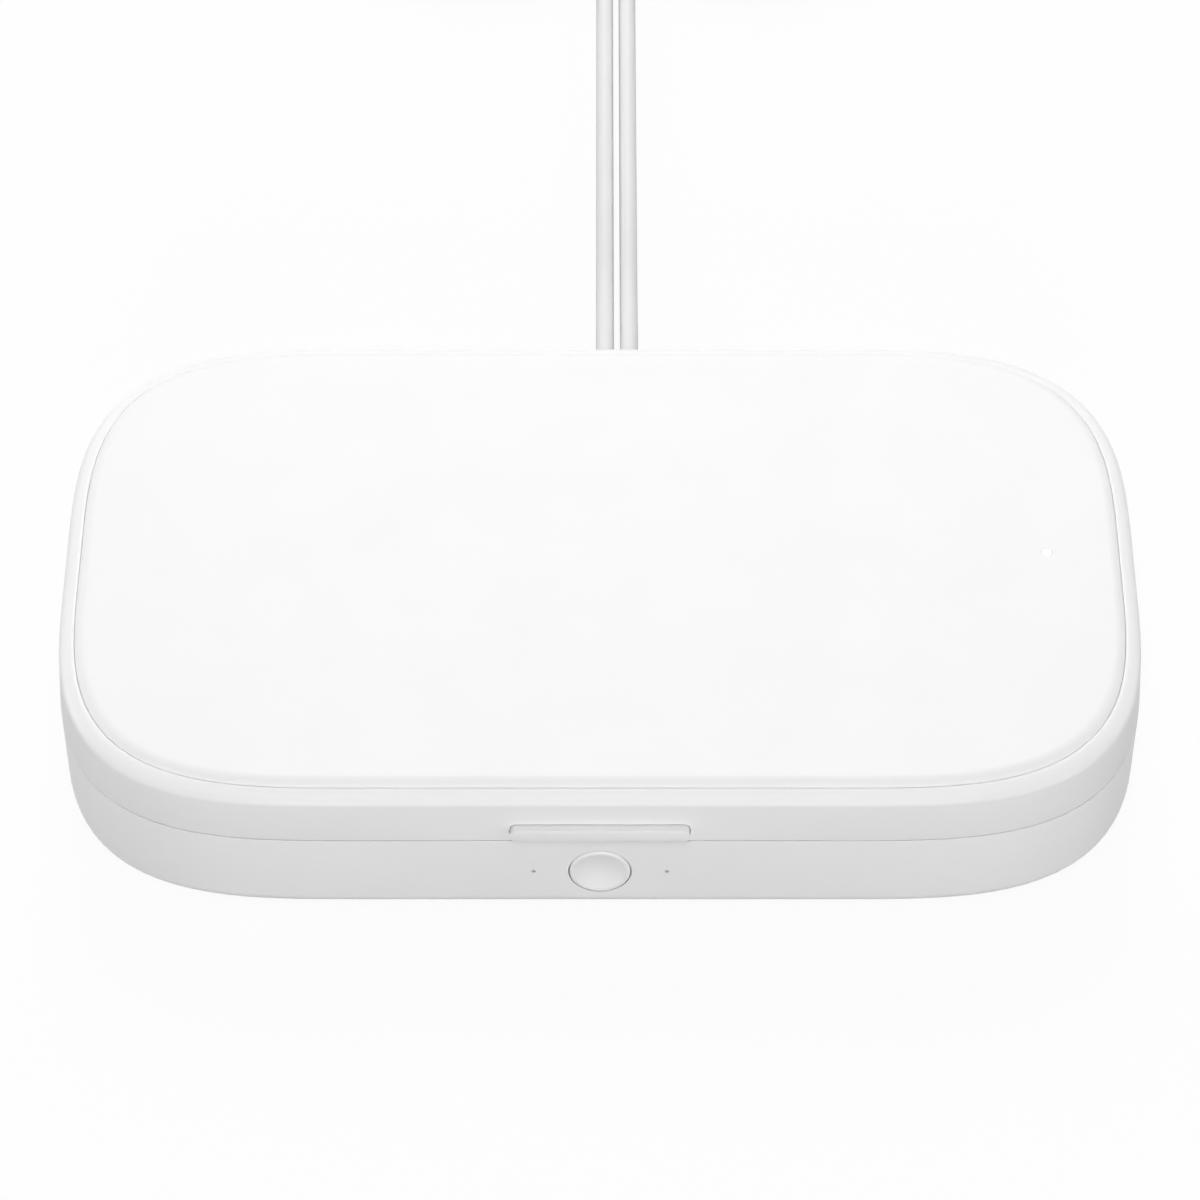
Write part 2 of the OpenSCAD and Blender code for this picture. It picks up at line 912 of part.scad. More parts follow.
module lid_liner() {
    color(mirror_grey)
        difference() {
            union() {
                slab(case_line(wall + 0.2), liner_z, liner_flange_z);
                slab(chamber_line(tray_wall), liner_flange_z - 0.1, ceiling_top);
                in_pairs(magnet_x)
                    translate([0, front_zone, 0])
                        post(magnet_d + 2 * cup_t, liner_flange_z - 0.1, liner_z + magnet_roof + magnet_h);
                in_pairs(lid_led_x)
                    for (j = [-1, 1])
                        translate([0, chamber_y + j * peg_off, 0]) {
                            post(post_d, ceiling_top - 0.1, lid_board_z);
                            post(peg_d, lid_board_z - 0.1, lid_board_z + lid_board_t + 0.3);
                        }
                for (i = [-1, 1], j = [-1, 1])
                    translate([i * ferrite_post, j * ferrite_post, 0])
                        post(post_d, ceiling_top - 0.1, ferrite_z);
                for (x = [charger_x0 + 4, charger_x1 - 9], j = [-1, 1])
                    translate([x, j * (charger_w / 2 - 3), 0])
                        post(post_d, ceiling_top - 0.1, charger_z);
            }
            slab(chamber_line(0), liner_z - 1, ceiling_z);
            at_liner_screws() {
                post(liner_head_d + 2 * fit, liner_z - 1, liner_z + liner_head_h + 0.1);
                post(liner_screw_d + 3 * fit, liner_z - 1, liner_flange_z + 1);
            }
            in_pairs(magnet_x)
                translate([0, front_zone, 0])
                    post(magnet_d + fit, liner_z + magnet_roof, liner_z + magnet_roof + magnet_h + 1);
            in_pairs(lid_led_x)
                translate([0, chamber_y, 0]) {
                    round_block(pane_w - 2 * pane_edge, pane_l - 2 * pane_edge, 2, ceiling_z - 1, ceiling_top + 1);
                    round_block(pane_w + 2 * fit, pane_l + 2 * fit, 3, ceiling_top - pane_t, ceiling_top + 0.01);
                }
        }
}

module lid_windows() {
    color(pane_blue)
        in_pairs(lid_led_x)
            translate([0, chamber_y, 0])
                round_block(pane_w, pane_l, 3, ceiling_top - pane_t, ceiling_top);
}

module lid_uv_boards() {
    color(board_green)
        in_pairs(lid_led_x)
            strip_board(lid_board_z, lid_board_z + lid_board_t);
}

module lid_uv_leds() {
    color(inner_white)
        in_pairs(lid_led_x)
            led_row(lid_board_z, -1);
}

module charging_coil() {
    color(copper)
        difference() {
            post(2 * coil_r, coil_z, coil_z + coil_h);
            post(2 * coil_hole_r, coil_z - 1, coil_z + coil_h + 1);
        }
}

module ferrite_sheet() {
    color(dark)
        round_block(ferrite_a, ferrite_a, 3, ferrite_z, coil_z);
}

// Board of the charging surface, with the chip under the status light
module charger_board() {
    color(board_green) {
        translate([(charger_x0 + charger_x1) / 2, 0, 0])
            round_block(charger_x1 - charger_x0, charger_w, 1, charger_z, charger_z + charger_t);
        translate([status_x, status_y, 0])
            block(2, 1.4, charger_z + charger_t - 0.1, charger_z + charger_t + 0.3);
    }
}

module status_light() {
    color(inner_white)
        translate([status_x, status_y, 0])
            post(status_d, charger_z + charger_t + 0.3, top_z);
}

// Lift tab in its pocket: a round-ended bar with a well rounded upper edge
module lift_tab() {
    root = 0.2;
    tab_top = tab_z0 + tab_h;
    color(shell_white)
        translate([0, -half_d, 0]) {
            intersection() {
                rotate([90, 0, 90])
                    translate([0, 0, -tab_w / 2])
                        linear_extrude(height = tab_w)
                            polygon(concat(
                                [
                                    for (i = [0 : 6])
                                        let (t = 15 * i)
                                        [
                                            -tab_out + tab_edge * (1 - cos(t)),
                                            tab_top - tab_edge * (1 - sin(t))
                                        ]
                                ],
                                [
                                    [pocket_in, tab_top],
                                    [pocket_in, tab_z0],
                                    [-tab_out + root, tab_z0],
                                    [-tab_out, tab_z0 + root]
                                ]
                            ));
                along_y(-tab_out - 1, pocket_in)
                    translate([0, tab_z0 + tab_h / 2])
                        round_rect(tab_w, tab_h, tab_round);
            }
            translate([0, wall / 2, tab_tongue_z])
                block(tongue_w, wall, -tongue_t / 2, tongue_t / 2);
        }
}

module lid_magnets() {
    magnets(liner_z + magnet_roof);
}

module liner_screws() {
    head_z = liner_z + liner_head_h + 0.1;
    color(steel)
        at_liner_screws() {
            difference() {
                post(liner_head_d, head_z - liner_head_h, head_z);
                block(2, 0.5, head_z - liner_head_h - 1, head_z - liner_head_h + 0.4);
                block(0.5, 2, head_z - liner_head_h - 1, head_z - liner_head_h + 0.4);
            }
            post(liner_screw_d, head_z - 0.1, land_z - 0.4);
        }
}

// ---------------------------------------------------------------- leads

function lead_x(side) = lead_mid + side * lead_pitch / 2;

// Twin strain relief: flange inside, neck through the wall, taper outside
module lead_gland() {
    end_w = lead_pitch + gland_end_h;
    color(shell_white)
        difference() {
            union() {
                along_y(half_d - wall - gland_flange_t, half_d - wall)
                    gland_plan(flange_over);
                along_y(half_d - wall - 0.1, half_d + 1.2)
                    gland_plan(-0.02);
                hull() {
                    along_y(half_d + 1.1, half_d + 1.2)
                        gland_plan(-0.02);
                    along_y(relief_y - 0.1, relief_y)
                        translate([lead_mid, gland_z])
                            round_rect(end_w, gland_end_h, gland_end_h / 2 - 0.01);
                }
            }
            for (i = [0 : 4])
                for (j = [-1, 1])
                    translate([lead_mid, half_d + 3.4 + 2.4 * i, gland_z + j * (gland_h / 2 + 0.1)])
                        block(lead_pitch + gland_h, 0.9, -0.6, 0.6);
        }
}

function unit(v) = v / norm(v);

// Rings of a round tube along a list of points
function tube_rings(path, d, sides) = [
    for (i = [0 : len(path) - 1])
        let (
            a = path[max(i - 1, 0)],
            b = path[min(i + 1, len(path) - 1)],
            t = unit(b - a),
            side = unit(cross(t, [0, 0, 1])),
            up = cross(side, t)
        )
        [
            for (k = [0 : sides - 1])
                let (q = 360 * k / sides)
                path[i] + d / 2 * (cos(q) * side - sin(q) * up)
        ]
];

function lead_path(side) = concat(
    [for (p = lead_drop) [lead_x(side), relief_y + p.x, gland_z - p.y * (gland_z - lead_d / 2)]],
    [for (y = lead_floor_y) [lead_x(side), y, lead_d / 2]]
);

// The coil's turns: angle in degrees from where the lead comes in
coil_end = coil_turns * 360;
coil_inner_r = coil_outer_r - coil_wind * coil_turns / 2;

function coil_r_at(q) =
    let (x = (q - coil_end / 2) / 360, soft = 0.1)
    coil_inner_r + coil_wind * (sqrt(x * x + soft * soft) - soft);

// A layer is climbed in the half turn where the spiral reverses
function coil_z_at(q) =
    let (x = min(max((q - coil_end / 2) / 180, -0.5), 0.5))
    lead_d / 2 + coil_wind * (0.5 + 0.5 * sin(180 * x));

function coil_path(side) =
    let (cx = lead_x(side) + side * coil_r_at(0), drop = coil_z_at(coil_end) - plug_z)
    concat(
        [for (y = [-2 * lead_d, -lead_d]) [lead_x(side), coil_y + y, lead_d / 2]],
        [
            for (q = [0 : coil_step : coil_end])
                [cx - side * coil_r_at(q) * cos(q), coil_y + coil_r_at(q) * sin(q), coil_z_at(q)]
        ],
        [
            for (p = coil_tail)
                [cx + side * p.x, coil_y + coil_r_at(coil_end), coil_z_at(coil_end) - drop * p.y]
        ]
    );

plug_x = coil_tail[len(coil_tail) - 1].x;

// Least gap of a coil to itself, among points more than a third of a turn apart
function least_gap(path) = min([
    for (i = [0 : len(path) - 1])
        for (j = [i + 8 : 1 : len(path) - 1])
            norm(path[i] - path[j])
]) - lead_d;

echo("least gap of a coil to itself", least_gap(coil_path(-1)));

module lead(side) {
    color(shell_white)
        loft(tube_rings(lead_path(side), lead_d, 8));
}

module lead_coil(side) {
    color(shell_white)
        loft(tube_rings(coil_path(side), lead_d, 6));
}

// Stands children at the end of a coil, pointing along X away from it
module at_plug(side) {
    translate([lead_x(side) + side * (coil_r_at(0) + plug_x), coil_y + coil_r_at(coil_end), plug_z])
        mirror([side < 0 ? 1 : 0, 0, 0])
            children();
}

// Moulded plug body with its neck, and the tongue inside the metal shell
module plug(side) {
    color(shell_white)
        at_plug(side) {
            rotate([0, 90, 0])
                cylinder(r1 = lead_d / 2 + 0.5, r2 = lead_d / 2 + 1.3, h = plug_neck);
            translate([plug_neck, 0, 0])
                rotate([90, 0, 90])
                    linear_extrude(height = plug_l)
                        round_rect(plug_w, plug_h, plug_r);
            translate([plug_neck + plug_l - 0.1, -usb_w / 2 + usb_t, 0])
                cube([usb_l - 0.6, usb_w - 2 * usb_t, usb_h / 2 - usb_t]);
        }
}

module plug_shell(side) {
    color(steel)
        at_plug(side)
            translate([plug_neck + plug_l, 0, 0])
                rotate([90, 0, 90])
                    linear_extrude(height = usb_l)
                        difference() {
                            square([usb_w, usb_h], center = true);
                            square([usb_w - 2 * usb_t, usb_h - 2 * usb_t], center = true);
                        }
}

base_shell();
base_tray();
chamber_rails();
base_windows();
base_uv_boards();
base_uv_leds();
main_board();
board_parts();
switch_body();
front_light_pipes();
base_magnets();
rim_seal();
tray_screws();
foot_mat();
hinge_pins();
lead_gland();
lead(-1);  // left_lead
lead_coil(-1);  // left_coil
plug(-1);  // left_plug
plug_shell(-1);  // left_plug_shell
lead(1);  // right_lead
lead_coil(1);  // right_coil
plug(1);  // right_plug
plug_shell(1);  // right_plug_shell
lid_shell();
top_plate();
lid_liner();
lid_windows();
lid_uv_boards();
lid_uv_leds();
charging_coil();
ferrite_sheet();
charger_board();
status_light();
lift_tab();
lid_magnets();
liner_screws();
button_cap();
switch_plunger();
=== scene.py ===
"""A hinged box that cleans handheld devices with ultraviolet light and charges them on its lid.

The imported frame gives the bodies, the joints and the plain solids. The operators below
model the parts that show, finish every surface and set up the stage. Lengths are in
metres; MM turns the millimetres of a drawing into them.
"""

import math

import bmesh
import bpy
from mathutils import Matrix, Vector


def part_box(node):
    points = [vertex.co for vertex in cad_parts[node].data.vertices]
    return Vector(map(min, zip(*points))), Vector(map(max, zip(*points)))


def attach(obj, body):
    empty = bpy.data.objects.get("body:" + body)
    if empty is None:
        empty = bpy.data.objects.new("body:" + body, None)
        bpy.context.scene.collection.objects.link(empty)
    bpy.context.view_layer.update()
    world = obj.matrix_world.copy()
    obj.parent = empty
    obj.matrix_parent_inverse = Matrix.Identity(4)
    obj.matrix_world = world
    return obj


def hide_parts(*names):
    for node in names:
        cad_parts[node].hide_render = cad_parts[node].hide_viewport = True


bl_info = {
    "name": "Ultraviolet Cleaning Box",
    "version": (1, 0, 0),
    "blender": (4, 5, 0),
    "location": "View3D > Sidebar > Cleaning Box",
    "description": "Models and finishes a hinged cleaning box with a charging lid",
    "category": "Object",
}

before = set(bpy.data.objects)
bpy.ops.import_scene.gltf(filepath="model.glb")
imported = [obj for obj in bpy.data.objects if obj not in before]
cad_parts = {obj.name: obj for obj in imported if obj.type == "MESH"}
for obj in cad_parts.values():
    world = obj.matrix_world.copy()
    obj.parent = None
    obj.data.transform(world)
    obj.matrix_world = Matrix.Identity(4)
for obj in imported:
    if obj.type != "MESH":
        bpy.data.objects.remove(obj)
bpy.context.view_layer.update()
MM = 0.001


# ------------------------------------------------------------------ properties


def length(name, millimetres, text):
    """A length property whose default is given in millimetres."""
    return bpy.props.FloatProperty(
        name=name, description=text, default=millimetres * MM, precision=5, unit="LENGTH"
    )


def angle(name, degrees, text):
    """An angle property whose default is given in degrees."""
    return bpy.props.FloatProperty(
        name=name, description=text, default=math.radians(degrees), subtype="ANGLE"
    )


def number(name, value, text):
    """A plain number."""
    return bpy.props.FloatProperty(name=name, description=text, default=value, unit="NONE")


def colour(name, rgb, text):
    """A colour, in linear light."""
    return bpy.props.FloatVectorProperty(
        name=name, description=text, default=rgb, size=3, min=0, max=1, subtype="COLOR"
    )


class CaseSizes(bpy.types.PropertyGroup):
    """Outline and levels of the case."""

    half_width: length("Half width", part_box("base_shell")[1].x / MM, "From the middle to a side")
    half_depth: length("Half depth", -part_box("base_shell")[0].y / MM, "From middle to front")
    corner_width: length("Corner width", 55, "Length of a corner curve along the width")
    corner_depth: length("Corner depth", 53, "Length of a corner curve along the depth")
    corner_power: number("Corner power", 3.2, "Power of the corner curve, 2 is an ellipse")
    wall: length("Wall", 2.4, "Thickness of the outer walls")
    ledge_wall: length("Ledge wall", 1.4, "Wall beside the flange of the tray")
    underside: length("Underside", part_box("base_shell")[0].z / MM, "Level of the base's underside")
    floor: length("Floor", 3, "Level of the base's inner floor")
    ledge: length("Ledge", 17.4, "Level that the tray rests on")
    seam: length("Seam", 19, "Level of the base's rim")
    lid: length("Lid edge", 19.3, "Level of the lid's lower edge")
    shoulder: length("Shoulder", 27.7, "Level where the shoulder starts")
    crest: length("Crest", 29.8, "Level of the crest of the shoulder")
    top: length("Top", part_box("top_plate")[1].z / MM, "Level of the charging surface")
    plate: length("Plate", 28.9, "Level of the underside of the charging plate")
    land: length("Land", 27.4, "Level of the underside of the land below the plate")
    lid_draft: length("Lid draft", 0.45, "Draft of the lid wall")
    shoulder_in: length("Crest inset", 2.7, "Inset of the crest of the shoulder")
    recess_in: length("Recess inset", 3.3, "Inset of the recess that holds the plate")
    land_in: length("Land inset", 9.2, "Inset of the inner edge of the land")
    plate_in: length("Plate inset", 3.35, "Inset of the edge of the charging plate")
    plate_roll: length("Plate roll", 2.1, "Width of the rolled edge of the plate")
    plate_drop: length("Plate drop", 1.3, "Height of the rolled edge of the plate")
    bottom_roll: length("Bottom roll", 2.9, "Radius of the rolled edge under the base")
    draft: length("Draft", 0.2, "Draft of the base wall")
    rim: length("Rim", 0.07, "Radius on the edges along the seam")
    mat_in: length("Mat inset", 14, "Inset of the non-slip mat")
    mat_sunk: length("Mat recess", 0.5, "Depth of the recess of the mat")


class ChamberSizes(bpy.types.PropertyGroup):
    """The reflector chamber and what lines it."""

    half_width: length("Half width", 89, "From the middle to a side of the chamber")
    half_depth: length("Half depth", 47, "Half the depth of the chamber")
    centre_y: length("Centre", 1, "Middle of the chamber along the depth")
    corner: length("Corner", 43, "Length of a corner curve")
    floor: length("Floor", 10.2, "Level of the chamber floor")
    underside: length("Underside", 8.8, "Level of the underside of the tray")
    wall: length("Wall", 1.2, "Wall of tray and liner")
    lip: length("Lip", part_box("base_tray")[1].z / MM, "Level of the top of the light lip")
    lip_in: length("Lip inset", 2.8, "Inset of the light lip")
    lip_wall: length("Lip wall", 1.2, "Thickness of the light lip")
    liner: length("Liner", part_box("lid_liner")[0].z / MM, "Level of the lower face of the liner")
    liner_flange: length("Liner flange", 23.1, "Level of the upper face of its flange")
    ceiling: length("Ceiling", 23.2, "Level of the chamber ceiling")
    ceiling_top: length("Ceiling top", 24.4, "Level of the upper face of the ceiling")
    pane_length: length("Pane length", 64, "Length of a window")
    pane_width: length("Pane width", 14, "Width of a window")
    pane_edge: length("Pane edge", 2, "How far a window rests on its seat")
    pane: length("Pane", 1, "Thickness of a window")
    base_pane_x: length("Base panes", 42, "From the middle to each window of the base")
    lid_pane_x: length("Lid panes", 62, "From the middle to each window of the lid")


class TrimSizes(bpy.types.PropertyGroup):
    """Button, lights, lift tab and hinge."""

    button_radius: length("Button radius", 5.5, "Radius of the button cap")
    button_gap: length("Button gap", 0.2, "Gap round the cap")
    button_front: length("Button face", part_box("button_cap")[0].y / MM, "Front of the cap")
    button_level: length("Button level", 10.5, "Level of the middle of the button")
    dish: length("Dish", 0.95, "Depth of the dish in the cap")
    light_off: length("Light spacing", 12, "From the button to each front light")
    light_radius: length("Light radius", 0.42, "Radius of each front light hole")
    status_x: length("Status light", 82.7, "From the middle to the status light")
    status_y: length("Status depth", 1.6, "Place of the status light along the depth")
    status_radius: length("Status radius", 1, "Radius of the status light")
    tab_half: length("Tab half width", 16, "Half the width of the lift tab")
    tab_low: length("Tab low", 20.4, "Level of the lower edge of the tab")
    tab_high: length("Tab high", 23.2, "Level of the upper edge of the tab")
    tab_out: length("Tab reach", 1.3, "How far the tab stands out of the wall")
    tab_edge: length("Tab edge", 0.2, "Radius of the upper edge of the tab")
    tab_pocket: length("Tab pocket", 0.9, "Depth of the pocket that holds the tab")
    tab_round: length("Tab corner", 1.2, "Corner radius of the tab")
    hinge_x: length("Hinge spacing", 38, "From the middle to each hinge")
    hinge_y: length("Hinge depth", 59, "Place of the hinge axis along the depth")
    hinge_z: length("Hinge level", 19.15, "Level of the hinge axis")
    knuckle: length("Knuckle radius", 2.8, "Radius of the knuckles")
    lid_knuckle: length("Lid knuckle", 9, "Length of each knuckle of the lid")
    base_knuckle: length("Base knuckle", 6.5, "Length of each knuckle of the base")
    running: length("Running gap", 0.3, "Gap between what turns and what doesn't")
    pin: length("Pin radius", 1, "Radius of the hinge pins")


class LeadSizes(bpy.types.PropertyGroup):
    """The two leads, their relief and their plugs."""

    diameter: length("Diameter", 3.6, "Diameter of a lead")
    middle: length("Middle", 3.4, "Place of the pair along the width")
    pitch: length("Pitch", 4.8, "Distance between the two leads")
    exit_y: length("Exit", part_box("lead_gland")[1].y / MM, "Where the leads leave their relief")
    exit_z: length("Exit level", 7, "Level where the leads leave their relief")
    whole: length("Length", 1200, "Length of each lead")
    coil_y: length("Coil place", 228, "Middle of each coil along the depth")
    coil_radius: length("Coil radius", 28.5, "Outer radius of a coil, at its middle line")
    coil_wind: length("Coil pitch", 4.1, "Distance from one turn to the next")
    coil_turns: number("Coil turns", 8.25, "Turns in each coil")
    plug_level: length("Plug level", 4, "Level of the middle of a plug")


class StageLook(bpy.types.PropertyGroup):
    """Camera, lamps and surroundings."""

    distance: length("Camera distance", 955.92, "From the camera to its aim")
    elevation: angle("Camera elevation", 46.88, "Height of the camera above the horizon")
    aim_y: length("Aim depth", 17.62, "Point that the camera aims at, along the depth")
    aim_z: length("Aim level", 0.8, "Level of the point that the camera aims at")
    focal: length("Focal length", 149.64, "Focal length for a sensor 36 mm wide")
    sky: number("Sky light", 0.03, "Light of the surroundings")
    lamp_power: number("Lamp power", 104, "Power of a full lamp, in watts")
    lamp_distance: length("Lamp distance", 3200, "From the box to each lamp")
    lamp_size: length("Lamp size", 1200, "Side of each square lamp")
    floor_white: number("Floor white", 0.7, "Share of plain white in what the floor shows")


class BoxColours(bpy.types.PropertyGroup):
    """Colours of the finishes."""

    case: colour("Case", (0.87, 0.87, 0.875), "Moulded case")
    top: colour("Top", (0.86, 0.86, 0.865), "Charging surface")
    button: colour("Button", (0.86, 0.86, 0.865), "Button cap")
    lead: colour("Lead", (0.76, 0.76, 0.76), "Jacket of the leads")
    reflector: colour("Reflector", (0.82, 0.84, 0.86), "Metallised tray and liner")
    silicone: colour("Silicone", (0.8, 0.83, 0.86), "Rails of the chamber")
    rubber: colour("Rubber", (0.36, 0.37, 0.39), "Seal and mat")
    steel: colour("Steel", (0.62, 0.63, 0.65), "Pins, screws and plug shells")
    board: colour("Board", (0.02, 0.11, 0.05), "Solder mask of the boards")
    copper: colour("Copper", (0.72, 0.32, 0.14), "Winding of the charging coil")
    dark: colour("Dark", (0.02, 0.02, 0.022), "Black plastic")


SETTINGS = {
    "box_case": CaseSizes,
    "box_chamber": ChamberSizes,
    "box_trim": TrimSizes,
    "box_leads": LeadSizes,
    "box_stage": StageLook,
    "box_colours": BoxColours,
}


def case():
    return bpy.context.scene.box_case


def chamber():
    return bpy.context.scene.box_chamber


def trim():
    return bpy.context.scene.box_trim


def leads():
    return bpy.context.scene.box_leads


def tone(name):
    """One of the colours, as three plain numbers."""
    return tuple(getattr(bpy.context.scene.box_colours, name))


# ------------------------------------------------------------------ outlines and sections

CORNER_STEPS = 30
EVEN = 1.6  # spreads the points of a corner curve evenly along it
# Which of a flat point's two values and its distance along an axis is its X, its Y and its Z
ORDER = {"X": (2, 0, 1), "Y": (0, 2, 1), "Z": (0, 1, 2)}


def rounded(half_x, half_y, corner_x, corner_y, power=2.0, steps=CORNER_STEPS):
    """A closed outline: a rectangle whose corners are superellipse arcs."""
    quarter = []
    for i in range(steps + 1):
        ahead = (i / steps) ** EVEN
        back = (1 - i / steps) ** EVEN
        t = math.pi / 2 * ahead / (ahead + back)
        x = half_x - corner_x * (1 - max(math.cos(t), 0) ** (2 / power))
        y = half_y - corner_y * (1 - math.sin(t) ** (2 / power))
        quarter.append((x, y))
    mirrored = quarter[::-1]
    return (
        quarter
        + [(-x, y) for x, y in mirrored]
        + [(-x, -y) for x, y in quarter]
        + [(x, -y) for x, y in mirrored]
    )


def case_rings(section):
    """Rings at the outline of the case, each drawn in by an inset, at a level."""
    c = case()
    rings = []
    for inset, z in section:
        outline = rounded(
            c.half_width - inset,
            c.half_depth - inset,
            c.corner_width - inset,
            c.corner_depth - inset,
            c.corner_power,
        )
        rings.append([(x, y, z) for x, y in outline])
    return rings


def chamber_rings(section):
    """Rings at the outline of the chamber, each grown by a distance, at a level."""
    h = chamber()
    power = case().corner_power
    rings = []
    for grow, z in section:
        corner = h.corner + grow
        outline = rounded(h.half_width + grow, h.half_depth + grow, corner, corner, power)
        rings.append([(x, y + h.centre_y, z) for x, y in outline])
    return rings


def arc(centre, radius, start, end, steps=8):
    """Points of an arc in a section, from one angle to another in degrees."""
    cx, cz = centre
    rx, rz = radius if isinstance(radius, tuple) else (radius, radius)
    turns = [math.radians(start + (end - start) * i / steps) for i in range(steps + 1)]
    return [(cx + rx * math.cos(t), cz + rz * math.sin(t)) for t in turns]


def circle(radius, steps):
    turns = [2 * math.pi * i / steps for i in range(steps)]
    return [(radius * math.cos(t), radius * math.sin(t)) for t in turns]


def square_to(axis, points, along, centre=(0, 0, 0)):
    """A ring of flat points, square to an axis at a distance along it from a centre."""
    ring = []
    for a, b in points:
        place = (a, b, along)
        ring.append(tuple(middle + place[k] for middle, k in zip(centre, ORDER[axis])))
    return ring


# ------------------------------------------------------------------ modelling steps


def activate(piece):
    """Selects one object and nothing else."""
    if bpy.context.object and bpy.context.object.mode != "OBJECT":
        bpy.ops.object.mode_set(mode="OBJECT")
    bpy.ops.object.select_all(action="DESELECT")
    bpy.context.view_layer.objects.active = piece
    piece.select_set(True)


def select_ring(mesh, numbers):
    """Selects the edges that lie in the numbered rings of a ring body."""
    ring = mesh.verts.layers.int["ring"]
    for face in mesh.faces:
        face.select = False
    for edge in mesh.edges:
        a, b = (v[ring] for v in edge.verts)
        edge.select = a == b and a in numbers
    for vert in mesh.verts:
        vert.select = vert[ring] in numbers


def ring_body(name, rings, closed=False):
    """Draws a ring and extrudes it to each next one; closed joins the last to the first."""
    bpy.ops.object.select_all(action="DESELECT")
    bpy.ops.mesh.primitive_circle_add(vertices=len(rings[0]), radius=MM)
    piece = bpy.context.active_object
    piece.name = piece.data.name = name
    bpy.ops.object.mode_set(mode="EDIT")
    bpy.context.tool_settings.mesh_select_mode = (True, True, False)
    mesh = bmesh.from_edit_mesh(piece.data)
    mesh.verts.layers.int.new("place")
    mesh.verts.layers.int.new("ring")
    place = mesh.verts.layers.int["place"]
    for i, vert in enumerate(mesh.verts):
        vert[place] = i
        vert.co = rings[0][i]
    for count, points in enumerate(rings[1:], 1):
        bmesh.update_edit_mesh(piece.data)
        bpy.ops.mesh.extrude_edges_move()
        mesh = bmesh.from_edit_mesh(piece.data)
        place = mesh.verts.layers.int["place"]
        ring = mesh.verts.layers.int["ring"]
        for vert in mesh.verts:
            if vert.select:
                vert[ring] = count
                vert.co = points[vert[place]]
    last = len(rings) - 1
    if closed:
        select_ring(mesh, (0, last))
        bmesh.update_edit_mesh(piece.data)
        bpy.ops.mesh.bridge_edge_loops()
    else:
        for end in (0, last):
            select_ring(bmesh.from_edit_mesh(piece.data), (end,))
            bmesh.update_edit_mesh(piece.data)
            bpy.ops.mesh.edge_face_add()
    bpy.ops.mesh.select_all(action="SELECT")
    bpy.ops.mesh.normals_make_consistent(inside=False)
    bpy.ops.object.mode_set(mode="OBJECT")
    for layer in ("place", "ring"):
        piece.data.attributes.remove(piece.data.attributes[layer])
    return piece


def turned(name, profile, centre, axis="Y", steps=64):
    """A body of round rings, each of a radius and a distance along an axis."""
    rings = [square_to(axis, circle(radius, steps), along, centre) for radius, along in profile]
    return ring_body(name, rings)


def prism(name, axis, outline, ends, centre=(0, 0, 0)):
    """A flat outline drawn out along an axis, from one end to the other."""
    return ring_body(name, [square_to(axis, outline, along, centre) for along in ends])


def block(name, start, end):
    """A box between two corners."""
    size = [b - a for a, b in zip(start, end)]
    middle = [(a + b) / 2 for a, b in zip(start, end)]
    bpy.ops.object.select_all(action="DESELECT")
    bpy.ops.mesh.primitive_cube_add(size=1)
    piece = bpy.context.active_object
    piece.name = piece.data.name = name
    bpy.ops.object.mode_set(mode="EDIT")
    bpy.ops.transform.resize(value=size, center_override=(0, 0, 0))
    bpy.ops.transform.translate(value=middle)
    bpy.ops.object.mode_set(mode="OBJECT")
    return piece


def apply_modifier(piece, kind, **values):
    """Gives a piece a modifier and applies it."""
    modifier = piece.modifiers.new(kind.title(), kind)
    for name, value in values.items():
        setattr(modifier, name, value)
    activate(piece)
    bpy.ops.object.modifier_apply(modifier=modifier.name)
    return piece


def combine(piece, other, operation):
    """Adds another body to a piece, cuts it away or keeps what they share."""
    apply_modifier(piece, "BOOLEAN", operation=operation, solver="EXACT", object=other)
    bpy.data.objects.remove(other)
    return piece


def cut(piece, other):
    return combine(piece, other, "DIFFERENCE")


def soften(piece, width, limit=30):
    """Rounds the edges of a piece that are sharper than a limit in degrees."""
    return apply_modifier(
        piece,
        "BEVEL",
        width=width,
        segments=3,
        limit_method="ANGLE",
        angle_limit=math.radians(limit),
        use_clamp_overlap=True,
    )


def shade(piece, limit=32):
    """Shades a piece smooth where its faces meet at less than a limit in degrees."""
    activate(piece)
    bpy.ops.object.shade_smooth_by_angle(angle=math.radians(limit))
    return piece


def hand_over(piece, body, slot, replaces=(), finish=None):
    """Gives a finished piece its material and its body, and hides the nodes that it stands for."""
    piece.data.materials.clear()
    piece.data.materials.append(finish or FINISHES[slot]())
    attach(piece, body)
    if replaces:
        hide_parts(*replaces)
    return piece


# ------------------------------------------------------------------ finishes


def new_node(tree, kind, **inputs):
    """Adds a shader node and sets its inputs, named with _ for a space."""
    return fill(tree.nodes.new(f"ShaderNode{kind}"), **inputs)


def fill(node, **inputs):
    for socket, value in inputs.items():
        node.inputs[socket.replace("_", " ")].default_value = value
    return node


